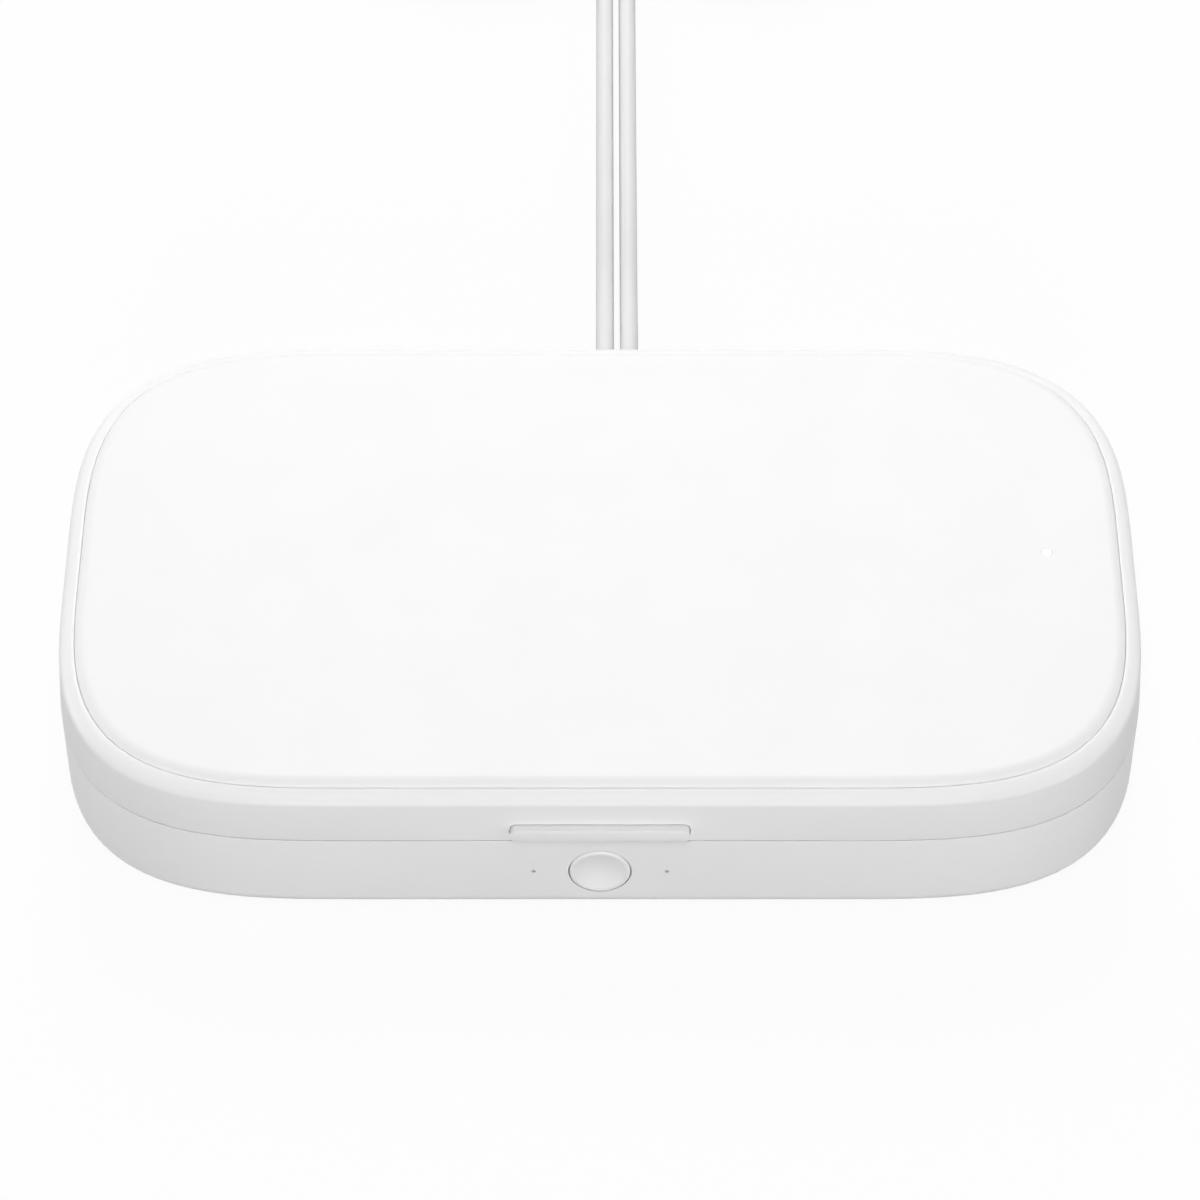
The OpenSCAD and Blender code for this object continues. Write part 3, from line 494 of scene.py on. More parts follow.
class Finish:
    """A material under construction: its nodes, and textures in the object's own coordinates."""

    def __init__(self, name, **inputs):
        self.material = bpy.data.materials.new(name)
        self.material.use_nodes = True
        self.tree = self.material.node_tree
        self.shader = fill(self.tree.nodes["Principled BSDF"], **inputs)
        self.place = self.node("TexCoord").outputs["Object"]

    def node(self, kind, **inputs):
        return new_node(self.tree, kind, **inputs)

    def link(self, source, node, socket):
        self.tree.links.new(source, node.inputs[socket])

    def mapped(self, kind, mapping, **inputs):
        """A texture node whose coordinates go through a mapping."""
        change = self.node("Mapping", **mapping)
        self.link(self.place, change, "Vector")
        texture = self.node(kind, **inputs)
        self.link(change.outputs["Vector"], texture, "Vector")
        return texture

    def noise(self, scale, detail, stretch=(1, 1, 1)):
        """Noise of a given fineness per metre."""
        texture = self.mapped("TexNoise", {"Scale": stretch}, Scale=scale, Detail=detail)
        return texture.outputs["Fac"]

    def tint(self, factor, first, second, start=0.3, end=0.7):
        """Colours the surface from one shade to another."""
        ramp = self.node("ValToRGB")
        ends = ((start, first), (end, second))
        for stop, (position, rgb) in zip(ramp.color_ramp.elements, ends):
            stop.position = position
            stop.color = (*rgb, 1)
        self.link(factor, ramp, "Fac")
        self.link(ramp.outputs["Color"], self.shader, "Base Color")

    def roughen(self, factor, smoothest, roughest):
        """Varies the roughness between two values."""
        spread = self.node("MapRange", To_Min=smoothest, To_Max=roughest)
        self.link(factor, spread, "Value")
        self.link(spread.outputs["Result"], self.shader, "Roughness")

    def relief(self, height, depth, strength):
        """Raises the surface by a height map of a real depth."""
        bump = self.node("Bump", Strength=strength, Distance=depth)
        self.link(height, bump, "Height")
        self.link(bump.outputs["Normal"], self.shader, "Normal")


def near(rgb, share):
    """The same colour, darker by a share."""
    return tuple(channel * (1 - share) for channel in rgb)


def surface(name, shades, cloud, gloss, grain, **inputs):
    """A finish with a cloudy tint, an uneven gloss and a fine grain.

    Each is a noise of a fineness per metre and a detail. The gloss adds its lowest and
    highest roughness, and the grain its depth in millimetres and its strength.
    """
    finish = Finish(name, **inputs)
    finish.tint(finish.noise(*cloud), *shades)
    finish.roughen(finish.noise(*gloss[:2]), *gloss[2:])
    finish.relief(finish.noise(*grain[:2]), grain[2] * MM, grain[3])
    return finish.material


def moulded(name, rgb, rough, fineness=2600, depth=0.01, **inputs):
    """Moulded plastic: a faint cloudiness, a fine spark texture and slightly uneven gloss."""
    gloss = (90, 4, rough - 0.04, rough + 0.04)
    grain = (fineness, 3, depth, 0.35)
    return surface(name, (near(rgb, 0.012), rgb), (38, 3), gloss, grain, **inputs)


def case_finish():
    return moulded("case_white", tone("case"), 0.42, IOR=1.46)


def top_finish():
    return moulded("top_white", tone("top"), 0.5, 3400, 0.008, IOR=1.46)


def button_finish():
    return moulded("button_white", tone("button"), 0.3, 3200, 0.004, IOR=1.48)


def jacket_finish():
    """Soft jacket of a lead: matt, with faint drawing marks."""
    shades = (near(tone("lead"), 0.02), tone("lead"))
    gloss = (420, 2, 0.42, 0.54)
    return surface("lead_white", shades, (60, 2), gloss, (1800, 2, 0.012, 0.4), IOR=1.45)


def reflector_finish():
    """Metallised plastic: a mirror coat with a slight orange peel."""
    shades = (near(tone("reflector"), 0.05), tone("reflector"))
    gloss = (300, 4, 0.16, 0.26)
    return surface("reflector", shades, (25, 3), gloss, (520, 2, 0.02, 0.3), Metallic=1.0)


def silicone_finish():
    look = {"IOR": 1.41, "Transmission_Weight": 0.45}
    return moulded("clear_silicone", tone("silicone"), 0.46, 1500, 0.01, **look)


def rubber_finish():
    """Matt rubber with a fine grain."""
    shades = (near(tone("rubber"), 0.12), tone("rubber"))
    gloss = (500, 3, 0.62, 0.8)
    return surface("seal_rubber", shades, (150, 4), gloss, (2200, 3, 0.03, 0.6), IOR=1.5)


def quartz_finish():
    """Clear polished pane with a trace of waviness."""
    shades = ((0.93, 0.97, 1.0), (0.97, 0.99, 1.0))
    look = {"IOR": 1.46, "Transmission_Weight": 1.0}
    return surface("quartz", shades, (40, 1), (200, 2, 0.02, 0.05), (60, 1, 0.01, 0.2), **look)


def steel_finish():
    """Plated steel with fine drawing marks along its length."""
    rgb = tone("steel")
    finish = Finish("steel", Metallic=1.0)
    finish.tint(finish.noise(700, 3, (0.05, 1, 1)), near(rgb, 0.14), rgb)
    finish.roughen(finish.noise(900, 3, (0.05, 1, 1)), 0.2, 0.36)
    finish.relief(finish.noise(2600, 2, (0.04, 1, 1)), 0.006 * MM, 0.4)
    return finish.material


def nickel_finish():
    shades = ((0.6, 0.58, 0.53), (0.7, 0.68, 0.63))
    gloss = (400, 3, 0.14, 0.24)
    return surface("nickel", shades, (240, 3), gloss, (900, 2, 0.006, 0.3), Metallic=1.0)


def board_finish():
    """Solder mask over a fine pattern of copper traces."""
    rgb = tone("board")
    finish = Finish("circuit_board", IOR=1.5, Coat_Weight=0.35, Coat_Roughness=0.2)
    traces = finish.node(
        "TexBrick",
        Scale=260,
        Mortar_Size=0.06,
        Color1=(*rgb, 1),
        Color2=(*near(rgb, 0.25), 1),
        Mortar=(rgb[0] + 0.03, rgb[1] + 0.1, rgb[2] + 0.04, 1),
    )
    finish.link(finish.place, traces, "Vector")
    finish.link(traces.outputs["Color"], finish.shader, "Base Color")
    finish.roughen(finish.noise(500, 2), 0.3, 0.42)
    finish.relief(traces.outputs["Fac"], 0.03 * MM, 0.5)
    return finish.material


def ceramic_finish():
    """White and gold ceramic of the emitters."""
    shades = ((0.72, 0.66, 0.42), (0.86, 0.85, 0.8))
    gloss = (700, 2, 0.2, 0.34)
    look = {"IOR": 1.6, "Coat_Weight": 0.4, "Coat_Roughness": 0.08}
    return surface("led_ceramic", shades, (900, 3), gloss, (2600, 2, 0.01, 0.4), **look)


def black_finish():
    shades = (tone("dark"), (0.05, 0.05, 0.053))
    gloss = (800, 3, 0.42, 0.6)
    return surface("black_plastic", shades, (500, 3), gloss, (3000, 3, 0.012, 0.6), IOR=1.5)


def ferrite_finish():
    """Dark sintered sheet, cracked into plates under its film."""
    finish = Finish("ferrite", IOR=1.6)
    plates = finish.node("TexVoronoi", Scale=420)
    plates.feature = "DISTANCE_TO_EDGE"
    finish.link(finish.place, plates, "Vector")
    crack = plates.outputs["Distance"]
    finish.tint(crack, (0.01, 0.01, 0.012), (0.05, 0.05, 0.055), 0.02, 0.1)
    finish.roughen(finish.noise(600, 3), 0.35, 0.5)
    finish.relief(crack, 0.02 * MM, 0.4)
    return finish.material


def copper_finish():
    """Enamelled wire wound in a flat spiral, with painted shade in the grooves between its turns."""
    rgb = tone("copper")
    finish = Finish("copper", Metallic=1.0, Coat_Weight=0.5, Coat_Roughness=0.12)
    turns = finish.node("TexWave", Scale=480)
    turns.wave_type = "RINGS"
    turns.rings_direction = "Z"
    finish.link(finish.place, turns, "Vector")
    # Darker between the turns: painted shade in the grooves of the winding, on top of the bump
    finish.tint(turns.outputs["Fac"], near(rgb, 0.45), rgb, 0.1, 0.8)
    finish.roughen(finish.noise(900, 2), 0.22, 0.34)
    finish.relief(turns.outputs["Fac"], 0.12 * MM, 0.8)
    return finish.material


def light_pipe_finish():
    look = {"IOR": 1.49, "Transmission_Weight": 0.6}
    return moulded("light_pipe", (0.8, 0.82, 0.84), 0.3, 1800, 0.008, **look)


def status_finish(centre, radius):
    """A white glow that is strongest in the middle and fades towards the rim."""
    finish = Finish("status_glow", IOR=1.46, Roughness=0.4, Emission_Color=(1, 1, 1, 1))
    finish.tint(finish.noise(800, 2), (0.9, 0.9, 0.9), (0.94, 0.94, 0.94))
    onto = {"Location": [-value / radius for value in centre], "Scale": (1 / radius,) * 3}
    fade = finish.mapped("TexGradient", onto)
    fade.gradient_type = "SPHERICAL"
    spread = finish.node("MapRange", To_Max=0.9)
    finish.link(fade.outputs["Fac"], spread, "Value")
    finish.link(spread.outputs["Result"], finish.shader, "Emission Strength")
    return finish.material


FINISHES = {
    "case_white": case_finish,
    "top_white": top_finish,
    "button_white": button_finish,
    "lead_white": jacket_finish,
    "reflector": reflector_finish,
    "clear_silicone": silicone_finish,
    "seal_rubber": rubber_finish,
    "quartz": quartz_finish,
    "steel": steel_finish,
    "nickel": nickel_finish,
    "circuit_board": board_finish,
    "led_ceramic": ceramic_finish,
    "black_plastic": black_finish,
    "ferrite": ferrite_finish,
    "copper": copper_finish,
    "light_pipe": light_pipe_finish,
}


# ------------------------------------------------------------------ stage

WHITE = (1, 1, 1, 1)
SENSOR = 36  # width of the camera's sensor, in its own millimetres
NEAREST = 0.01  # what the camera sees starts here
FLOOR_SIDE = 9
FLOOR_GREY = (0.2, 0.2, 0.2, 1)  # how strongly the floor lights the object
FLOOR_SHOWN = 0.93  # how bright its white is where it is seen
# Soft lamps: height above the horizon and heading from the front towards the right, both
# in degrees, and share of full power
LAMPS = [
    (15, 0, 0.4), (15, -60, 0.12), (15, 60, 0.19), (15, -110, 0.22), (15, 110, 0.08),
    (20, -150, 0.14), (20, 150, 0.14), (25, 180, 0.14), (45, 180, 0.4), (62, 0, 0.32),
]


def seen_directly(tree):
    """1 for rays that show the surroundings: from the camera, in a mirror or through glass."""
    path = new_node(tree, "LightPath")
    total = path.outputs["Is Camera Ray"]
    for output in ("Is Glossy Ray", "Is Transmission Ray"):
        either = new_node(tree, "Math")
        either.operation = "MAXIMUM"
        tree.links.new(total, either.inputs[0])
        tree.links.new(path.outputs[output], either.inputs[1])
        total = either.outputs["Value"]
    return total


def lit_or_seen(tree, share, lit, seen, output):
    """Mixes what lights the object with what is seen, by the share of the second."""
    mix = new_node(tree, "MixShader")
    tree.links.new(share, mix.inputs["Fac"])
    tree.links.new(lit, mix.inputs[1])
    tree.links.new(seen, mix.inputs[2])
    tree.links.new(mix.outputs["Shader"], tree.nodes[output].inputs["Surface"])


class BOX_OT_stage(bpy.types.Operator):
    """Sets the camera, the lamps, the white surroundings and the pale floor"""

    bl_idname = "box.stage"
    bl_label = "Stage"

    def execute(self, context):
        look = context.scene.box_stage
        context.scene.view_settings.view_transform = "Standard"
        back = look.distance * math.cos(look.elevation)
        rise = look.distance * math.sin(look.elevation)
        bpy.ops.object.camera_add(
            location=(0, look.aim_y - back, look.aim_z + rise),
            rotation=(math.pi / 2 - look.elevation, 0, 0),
        )
        camera = context.active_object
        camera.data.sensor_width = SENSOR
        camera.data.lens = look.focal / MM
        camera.data.clip_start = NEAREST
        context.scene.camera = camera
        self.lamps(look)
        self.surroundings(context, look)
        self.floor(look)
        return {"FINISHED"}

    def lamps(self, look):
        for height, heading, share in LAMPS:
            up = math.radians(height)
            round_to = math.radians(heading)
            place = (
                look.lamp_distance * math.cos(up) * math.sin(round_to),
                -look.lamp_distance * math.cos(up) * math.cos(round_to),
                look.lamp_distance * math.sin(up),
            )
            bpy.ops.object.light_add(type="AREA", location=place)
            lamp = bpy.context.active_object
            lamp.data.energy = look.lamp_power * share
            lamp.data.size = look.lamp_size
            lamp.rotation_euler = (-lamp.location).to_track_quat("-Z", "Y").to_euler()

    def surroundings(self, context, look):
        world = bpy.data.worlds.new("white_room")
        context.scene.world = world
        world.use_nodes = True
        tree = world.node_tree
        seen = fill(tree.nodes["Background"], Color=WHITE).outputs["Background"]
        light = new_node(tree, "Background", Color=WHITE, Strength=look.sky)
        lit = light.outputs["Background"]
        lit_or_seen(tree, seen_directly(tree), lit, seen, "World Output")

    def floor(self, look):
        bpy.ops.mesh.primitive_plane_add(size=FLOOR_SIDE)
        floor = bpy.context.active_object
        floor.name = "floor"
        material = bpy.data.materials.new("floor_paper")
        material.use_nodes = True
        tree = material.node_tree
        matt = {"Roughness": 0.9, "Specular_IOR_Level": 0}
        paper = fill(tree.nodes["Principled BSDF"], Base_Color=FLOOR_GREY, **matt)
        plain = new_node(tree, "Emission", Strength=FLOOR_SHOWN / look.floor_white)
        share = new_node(tree, "Math")
        share.operation = "MULTIPLY"
        share.inputs[1].default_value = look.floor_white
        tree.links.new(seen_directly(tree), share.inputs[0])
        lit, seen = paper.outputs["BSDF"], plain.outputs["Emission"]
        lit_or_seen(tree, share.outputs["Value"], lit, seen, "Material Output")
        floor.data.materials.append(material)


# ------------------------------------------------------------------ leads

# Fall of each lead behind its relief: millimetres behind it, and share of the fall
LEAD_DROP = [
    (0, 0), (4, 0), (9, 0.13), (14, 0.37), (19, 0.66), (24, 0.87), (29, 0.965), (34, 0.99),
]
# Then straight back to the coil, at these millimetres from the middle of the box
LEAD_ALONG = [*range(112, 209, 8), 214, 220.8]
# Tail of the coil: millimetres outwards, and share of the way down to the plug
COIL_TAIL = [(5, 0), (10, 0.3), (14, 0.7), (18, 1), (22, 1)]
COIL_STEP = 15  # degrees from one point of a coil to the next
COIL_TURN_BACK = 0.1  # share of a turn in which the spiral turns back
SIDES = {"left": -1, "right": 1}
ROUND_STEPS = 10  # points in each corner of a small round section

# Sections of a plug in millimetres: distance outwards, half depth, half height and corner
PLUG_NECK = [
    (0, 2.2, 2.2, 2.2), (0.3, 2.4, 2.4, 2.4), (6.6, 3, 3, 3), (7.4, 3.6, 3.1, 2.9),
    (8.2, 5.4, 3.5, 2.8), (9.2, 6.9, 3.8, 2.6), (10.4, 7.6, 3.95, 2.5), (11.6, 7.8, 4, 2.4),
]
PLUG_END = [
    (28, 7.8, 4, 2.4), (28.6, 7.65, 3.85, 2.3), (28.9, 7.3, 3.5, 2.2), (29, 6.9, 3.1, 2),
]
SHELL = [
    (28.6, 6, 2.25, 0.5), (41.2, 6, 2.25, 0.5), (41.4, 5.85, 2.1, 0.45),
    (41.4, 5.7, 1.95, 0.35), (41.2, 5.6, 1.85, 0.3), (28.6, 5.6, 1.85, 0.3),
]
GROOVE_PITCH = 2.4


def grip_grooves(first, count, turns, flat, sunk):
    """Sections of grip grooves; turns are where a groove is down, starts to rise and ends."""
    sections = []
    for i in range(count):
        start = first + GROOVE_PITCH * i
        places = [start] + [start + turn for turn in turns]
        sections += [(place, *form) for place, form in zip(places, (flat, sunk, sunk, flat))]
    return sections


def lead_x(side):
    s = leads()
    return s.middle + side * s.pitch / 2


def coil_radius(turn):
    """Radius after so many turns: the spiral runs in and out again."""
    s = leads()
    soft = COIL_TURN_BACK
    off = turn - s.coil_turns / 2
    inner = s.coil_radius - s.coil_wind * s.coil_turns / 2
    return inner + s.coil_wind * (math.sqrt(off * off + soft * soft) - soft)


def coil_level(turn):
    """Level after so many turns: the second layer is climbed where the spiral reverses."""
    s = leads()
    share = min(max((turn - s.coil_turns / 2) * 2, -0.5), 0.5)
    return s.diameter / 2 + s.coil_wind * (0.5 + 0.5 * math.sin(math.pi * share))


def lead_route(side):
    """The middle line of a lead, from its relief to its plug."""
    s = leads()
    x = lead_x(side)
    ground = s.diameter / 2
    fall = s.exit_z - ground
    route = [(x, s.exit_y + y * MM, s.exit_z - share * fall) for y, share in LEAD_DROP]
    route += [(x, y * MM, ground) for y in LEAD_ALONG]
    route.append((x, s.coil_y - s.diameter, ground))
    centre = x + side * coil_radius(0)
    for i in range(int(s.coil_turns * 360 / COIL_STEP) + 1):
        turn = i * COIL_STEP / 360
        a = math.tau * turn
        r = coil_radius(turn)
        place = (centre - side * r * math.cos(a), s.coil_y + r * math.sin(a))
        route.append((*place, coil_level(turn)))
    end_y = s.coil_y + coil_radius(s.coil_turns)
    end_level = coil_level(s.coil_turns)
    drop = end_level - s.plug_level
    for out, share in COIL_TAIL:
        route.append((centre + side * out * MM, end_y, end_level - share * drop))
    return route


class BOX_OT_leads(bpy.types.Operator):
    """Lays the two leads: straight back, then coiled, with a plug on each"""

    bl_idname = "box.leads"
    bl_label = "Leads and plugs"

    def execute(self, context):
        for name, side in SIDES.items():
            plug = self.plug(name, side)
            shell = self.plug_shell(name, side)
            tongue = self.tongue(name, side)
            lead = self.lead(name, side)
        return {"FINISHED"}

    def lead(self, name, side):
        route = lead_route(side)
        curve = bpy.data.curves.new(f"{name}_cord", "CURVE")
        curve.dimensions = "3D"
        curve.bevel_depth = leads().diameter / 2
        curve.bevel_resolution = 6
        curve.resolution_u = 5
        curve.use_fill_caps = True
        spline = curve.splines.new("BEZIER")
        spline.bezier_points.add(len(route) - 1)
        for knot, place in zip(spline.bezier_points, route):
            knot.co = place
            knot.handle_left_type = knot.handle_right_type = "AUTO"
        cord = bpy.data.objects.new(f"{name}_cord", curve)
        bpy.context.scene.collection.objects.link(cord)
        return hand_over(cord, "base", "lead_white", (f"{name}_lead", f"{name}_coil"))

    def outward(self, side, sections):
        """Rings of rounded sections that stand along X, outwards from the end of a coil."""
        end = lead_route(side)[-1]
        rings = []
        for along, half_y, half_z, corner in sections:
            sizes = (half_y * MM, half_z * MM, corner * MM, corner * MM)
            ring = rounded(*sizes, 2.2, ROUND_STEPS)
            rings.append(square_to("X", ring, side * along * MM, end))
        return rings

    def bar(self, name, side, along, across, rise):
        """A block at the end of a coil: its spans in millimetres outwards, across and up."""
        x, y, z = lead_route(side)[-1]
        xs = sorted(x + side * out * MM for out in along)
        corners = [(xs[i], y + across[i] * MM, z + rise[i] * MM) for i in (0, 1)]
        return block(name, *corners)

    def plug(self, name, side):
        """The overmould: a tapered neck, soft shoulders and grip grooves."""
        grip = grip_grooves(14, 4, (0.3, 0.9, 1.2), (7.8, 4, 2.4), (7.75, 3.6, 2.4))
        rings = self.outward(side, PLUG_NECK + grip + PLUG_END)
        plug = shade(ring_body(f"{name}_usb_plug", rings), 50)
        return hand_over(plug, "base", "lead_white", (f"{name}_plug",))

    def plug_shell(self, name, side):
        """The metal shell, with the two square holes in each broad side."""
        shell = ring_body(f"{name}_usb_shell", self.outward(side, SHELL), closed=True)
        for middle in (-3, 3):
            across = (middle - 1.25, middle + 1.25)
            cut(shell, self.bar("hole", side, (34.5, 37), across, (-3, 3)))
        return hand_over(shade(shell, 40), "base", "steel", (f"{name}_plug_shell",))

    def tongue(self, name, side):
        """The plastic tongue inside the shell."""
        tongue = self.bar(f"{name}_usb_tongue", side, (29, 40.4), (-5.4, 5.4), (0.05, 1.8))
        soften(tongue, 0.15 * MM)
        return hand_over(shade(tongue), "base", "black_plastic")


RELIEF = 2.78  # half the height of the relief at the wall, in millimetres
RELIEF_TAPER = 0.55


class BOX_OT_relief(bpy.types.Operator):
    """Models the twin strain relief behind the case"""

    bl_idname = "box.relief"
    bl_label = "Strain relief"

    def execute(self, context):
        s = leads()
        wall_y = case().half_depth
        reach = s.exit_y - wall_y
        end = reach / MM
        # Distance behind the wall, and how far the sides and the faces are drawn in
        sections = [(-2.2, 0, 0), (0.9, 0, 0), (1.2, 0.05, 0.05)]
        sections += grip_grooves(2.8, 5, (0.25, 1.0, 1.25), (0, 0), (0.05, 0.5))
        sections += [(end - 0.5, 0, 0), (end - 0.1, 0.2, 0.2), (end, 0.45, 0.45)]
        rings = []
        for along, in_x, in_z in sections:
            share = min(max(along * MM / reach, 0), 1)
            half_z = (RELIEF - RELIEF_TAPER * share - in_z) * MM
            half_x = s.pitch / 2 + (RELIEF - RELIEF_TAPER * share - in_x) * MM
            ring = rounded(half_x, half_z, half_z, half_z, 2.0, ROUND_STEPS)
            rings.append(square_to("Y", ring, along * MM, (s.middle, wall_y, s.exit_z)))
        relief = shade(ring_body("twin_strain_relief", rings), 50)
        hand_over(relief, "base", "lead_white", ("lead_gland",))
        return {"FINISHED"}


# ------------------------------------------------------------------ housings


def knuckle(x0, x1, up):
    """A hinge knuckle and the web to its wall, up on the lid and down on the base."""
    t = trim()
    gap = 0.15 * MM
    web = t.knuckle + 1.6 * MM
    rear = case().half_depth - t.hinge_y
    inside = rear - case().wall + 0.3 * MM
    section = [(inside, gap), (inside, web), (rear, web)]
    section += arc((0, 0), t.knuckle, 35, -175, 30)
    outline = [(t.hinge_y + y, t.hinge_z + up * z) for y, z in section]
    return soften(prism("knuckle", "X", outline, (x0, x1)), 0.25 * MM, 50)


def rod(name, radius, x0, x1):
    """A rod on the hinge axis."""
    t = trim()
    return turned(name, [(radius, x0), (radius, x1)], (0, t.hinge_y, t.hinge_z), "X", 48)


def hinge_spans(which):
    """The stretches along X of the knuckles of the base or the lid."""
    t = trim()
    half = t.lid_knuckle / 2
    start = half + t.running
    spans = []
    for centre in (-t.hinge_x, t.hinge_x):
        if which == "lid":
            spans.append((centre - half, centre + half))
        else:
            spans.append((centre - start - t.base_knuckle, centre - start))
            spans.append((centre + start, centre + start + t.base_knuckle))
    return spans


def add_hinges(shell, own, other, up):
    """Joins a housing's own knuckles to it and clears the space of the other's."""
    t = trim()
    room = t.running
    bore = t.pin + 0.06 * MM
    reach = 13 * MM
    for x0, x1 in hinge_spans(other):
        cut(shell, rod("room", t.knuckle + room, x0 - room, x1 + room))
    for x0, x1 in hinge_spans(own):
        combine(shell, knuckle(x0, x1, up), "UNION")
    for centre in (-t.hinge_x, t.hinge_x):
        cut(shell, rod("bore", bore, centre - reach, centre + reach))


class BOX_OT_base_housing(bpy.types.Operator):
    """Models the lower housing with its rolled foot, rim, openings and hinge knuckles"""

    bl_idname = "box.base_housing"
    bl_label = "Base housing"

    def execute(self, context):
        c = case()
        roll = c.bottom_roll
        well = c.mat_in - 0.1 * MM
        edge = 0.12 * MM
        section = [(well, c.underside + c.mat_sunk), (well, c.underside)]
        section += arc((c.draft + roll, c.underside + roll), roll, 270, 180, 14)
        section += arc((c.rim, c.seam - c.rim), c.rim, 180, 90, 5)
        section += arc((c.ledge_wall - edge, c.seam - edge), edge, 90, 0, 3)
        section += [(c.ledge_wall, c.ledge), (c.wall, c.ledge), (c.wall, c.floor)]
        shell = ring_body("base_housing", case_rings(section))
        add_hinges(shell, "base", "lid", -1)
        self.front_openings(shell)
        self.relief_hole(shell)
        hand_over(shade(shell), "base", "case_white", ("base_shell",))
        return {"FINISHED"}

    def front_openings(self, shell):
        """The bore of the button, with a bevelled mouth, and the hole of each front light."""
        t = trim()
        front = -case().half_depth
        ahead, behind = -0.5 * MM, 4 * MM
        bore = t.button_radius + t.button_gap
        mouth = 0.15 * MM
        profile = [(bore + mouth - ahead, ahead), (bore + mouth, 0), (bore, mouth), (bore, behind)]
        cut(shell, turned("button_bore", profile, (0, front, t.button_level)))
        r = t.light_radius
        mouth = 0.05 * MM
        profile = [(r + mouth, ahead), (r, mouth), (r, behind)]
        for side in (-1, 1):
            place = (side * t.light_off, front, t.button_level)
            cut(shell, turned("light_hole", profile, place, "Y", 32))

    def relief_hole(self, shell):
        s = leads()
        rear = case().half_depth
        r = 2.85 * MM
        ring = rounded(s.pitch / 2 + r, r, r, r, 2.0, ROUND_STEPS)
        ends = (rear - 4 * MM, rear + MM)
        cut(shell, prism("relief_hole", "Y", ring, ends, (s.middle, 0, s.exit_z)))


class BOX_OT_lid_housing(bpy.types.Operator):
    """Models the upper housing with its rolled shoulder, crease and hinge knuckles"""

    bl_idname = "box.lid_housing"
    bl_label = "Lid housing"

    def execute(self, context):
        c = case()
        crest = 0.15 * MM
        fit = 0.24 * MM
        section = arc((c.rim, c.lid + c.rim), c.rim, 270, 180, 5) + self.shoulder()
        section += arc((c.recess_in - crest, c.crest - crest), crest, 90, 0, 4)
        section += [(c.recess_in, c.plate), (c.land_in, c.plate), (c.land_in, c.land)]
        section += [(c.wall, c.land), (c.wall, c.lid)]
        shell = ring_body("lid_housing", case_rings(section), closed=True)
        add_hinges(shell, "lid", "base", 1)
        ends = (-c.half_depth - MM, -c.half_depth + trim().tab_pocket)
        cut(shell, tab_body("tab_pocket", fit, ends))
        hand_over(shade(shell), "lid", "case_white", ("lid_shell",))
        return {"FINISHED"}

    def shoulder(self):
        """Part of an elliptical arc, from the upright wall to the crest."""
        c = case()
        lean = math.radians(70)
        steps = 20
        points = []
        for i in range(steps + 1):
            t = lean * i / steps
            share = (1 - math.cos(t)) / (1 - math.cos(lean))
            inset = c.lid_draft + (c.shoulder_in - c.lid_draft) * share
            level = c.shoulder + (c.crest - c.shoulder) * math.sin(t) / math.sin(lean)
            points.append((inset, level))
        return points


class BOX_OT_top_plate(bpy.types.Operator):
    """Models the charging plate with its rolled edge and the hole of the status light"""

    bl_idname = "box.top_plate"
    bl_label = "Charging plate"

    def execute(self, context):
        c = case()
        t = trim()
        roll = (c.plate_roll, c.plate_drop)
        section = [(c.plate_in, c.plate)]
        section += arc((c.plate_in + c.plate_roll, c.top - c.plate_drop), roll, 180, 90, 20)
        plate = ring_body("charging_plate", case_rings(section))
        radius = t.status_radius + 0.05 * MM
        profile = [(radius, c.plate - MM), (radius, c.top + MM)]
        cut(plate, turned("hole", profile, (t.status_x, t.status_y, 0), "Z", 32))
        hand_over(shade(plate, 25), "lid", "top_white", ("top_plate",))
        return {"FINISHED"}


class BOX_OT_status_light(bpy.types.Operator):
    """Models the status light flush with the charging plate"""

    bl_idname = "box.status_light"
    bl_label = "Status light"

    def execute(self, context):
        t = trim()
        bottom, top = (corner.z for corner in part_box("status_light"))
        r = t.status_radius
        edge = 0.03 * MM
        profile = [(r, bottom), (r, top - edge), (r - edge, top), (r * 0.5, top)]
        light = turned("status_light_guide", profile, (t.status_x, t.status_y, 0), "Z", 40)
        glow = status_finish((t.status_x, t.status_y, top), r)
        hand_over(shade(light), "lid", "light_pipe", ("status_light",), glow)
        return {"FINISHED"}


def tab_body(name, grow, ends):
    """The round-cornered outline of the tab, drawn out along the depth."""
    t = trim()
    middle = (t.tab_low + t.tab_high) / 2
    corner = t.tab_round + grow
    half = (t.tab_high - t.tab_low) / 2 + grow
    plan = rounded(t.tab_half + grow, half, corner, corner, 2.0, ROUND_STEPS)
    return prism(name, "Y", plan, ends, (0, 0, middle))


class BOX_OT_lift_tab(bpy.types.Operator):
    """Models the lift tab: a round-ended bar in a close pocket of the lid"""

    bl_idname = "box.lift_tab"
    bl_label = "Lift tab"

    def execute(self, context):
        t = trim()
        front = -case().half_depth
        face = front - t.tab_out
        back = front + t.tab_pocket
        root = 0.2 * MM
        section = arc((face + root, t.tab_low + root), root, 270, 180, 5)
        section += arc((face + t.tab_edge, t.tab_high - t.tab_edge), t.tab_edge, 180, 90, 6)
        section += [(back, t.tab_high), (back, t.tab_low)]
        tab = prism("lift_tab_grip", "X", section, (-t.tab_half, t.tab_half))
        combine(tab, tab_body("tab_plan", 0, (front - 2 * MM, front + MM)), "INTERSECT")
        soften(tab, 0.12 * MM, 40)
        hand_over(shade(tab, 40), "lid", "case_white", ("lift_tab",))
        return {"FINISHED"}


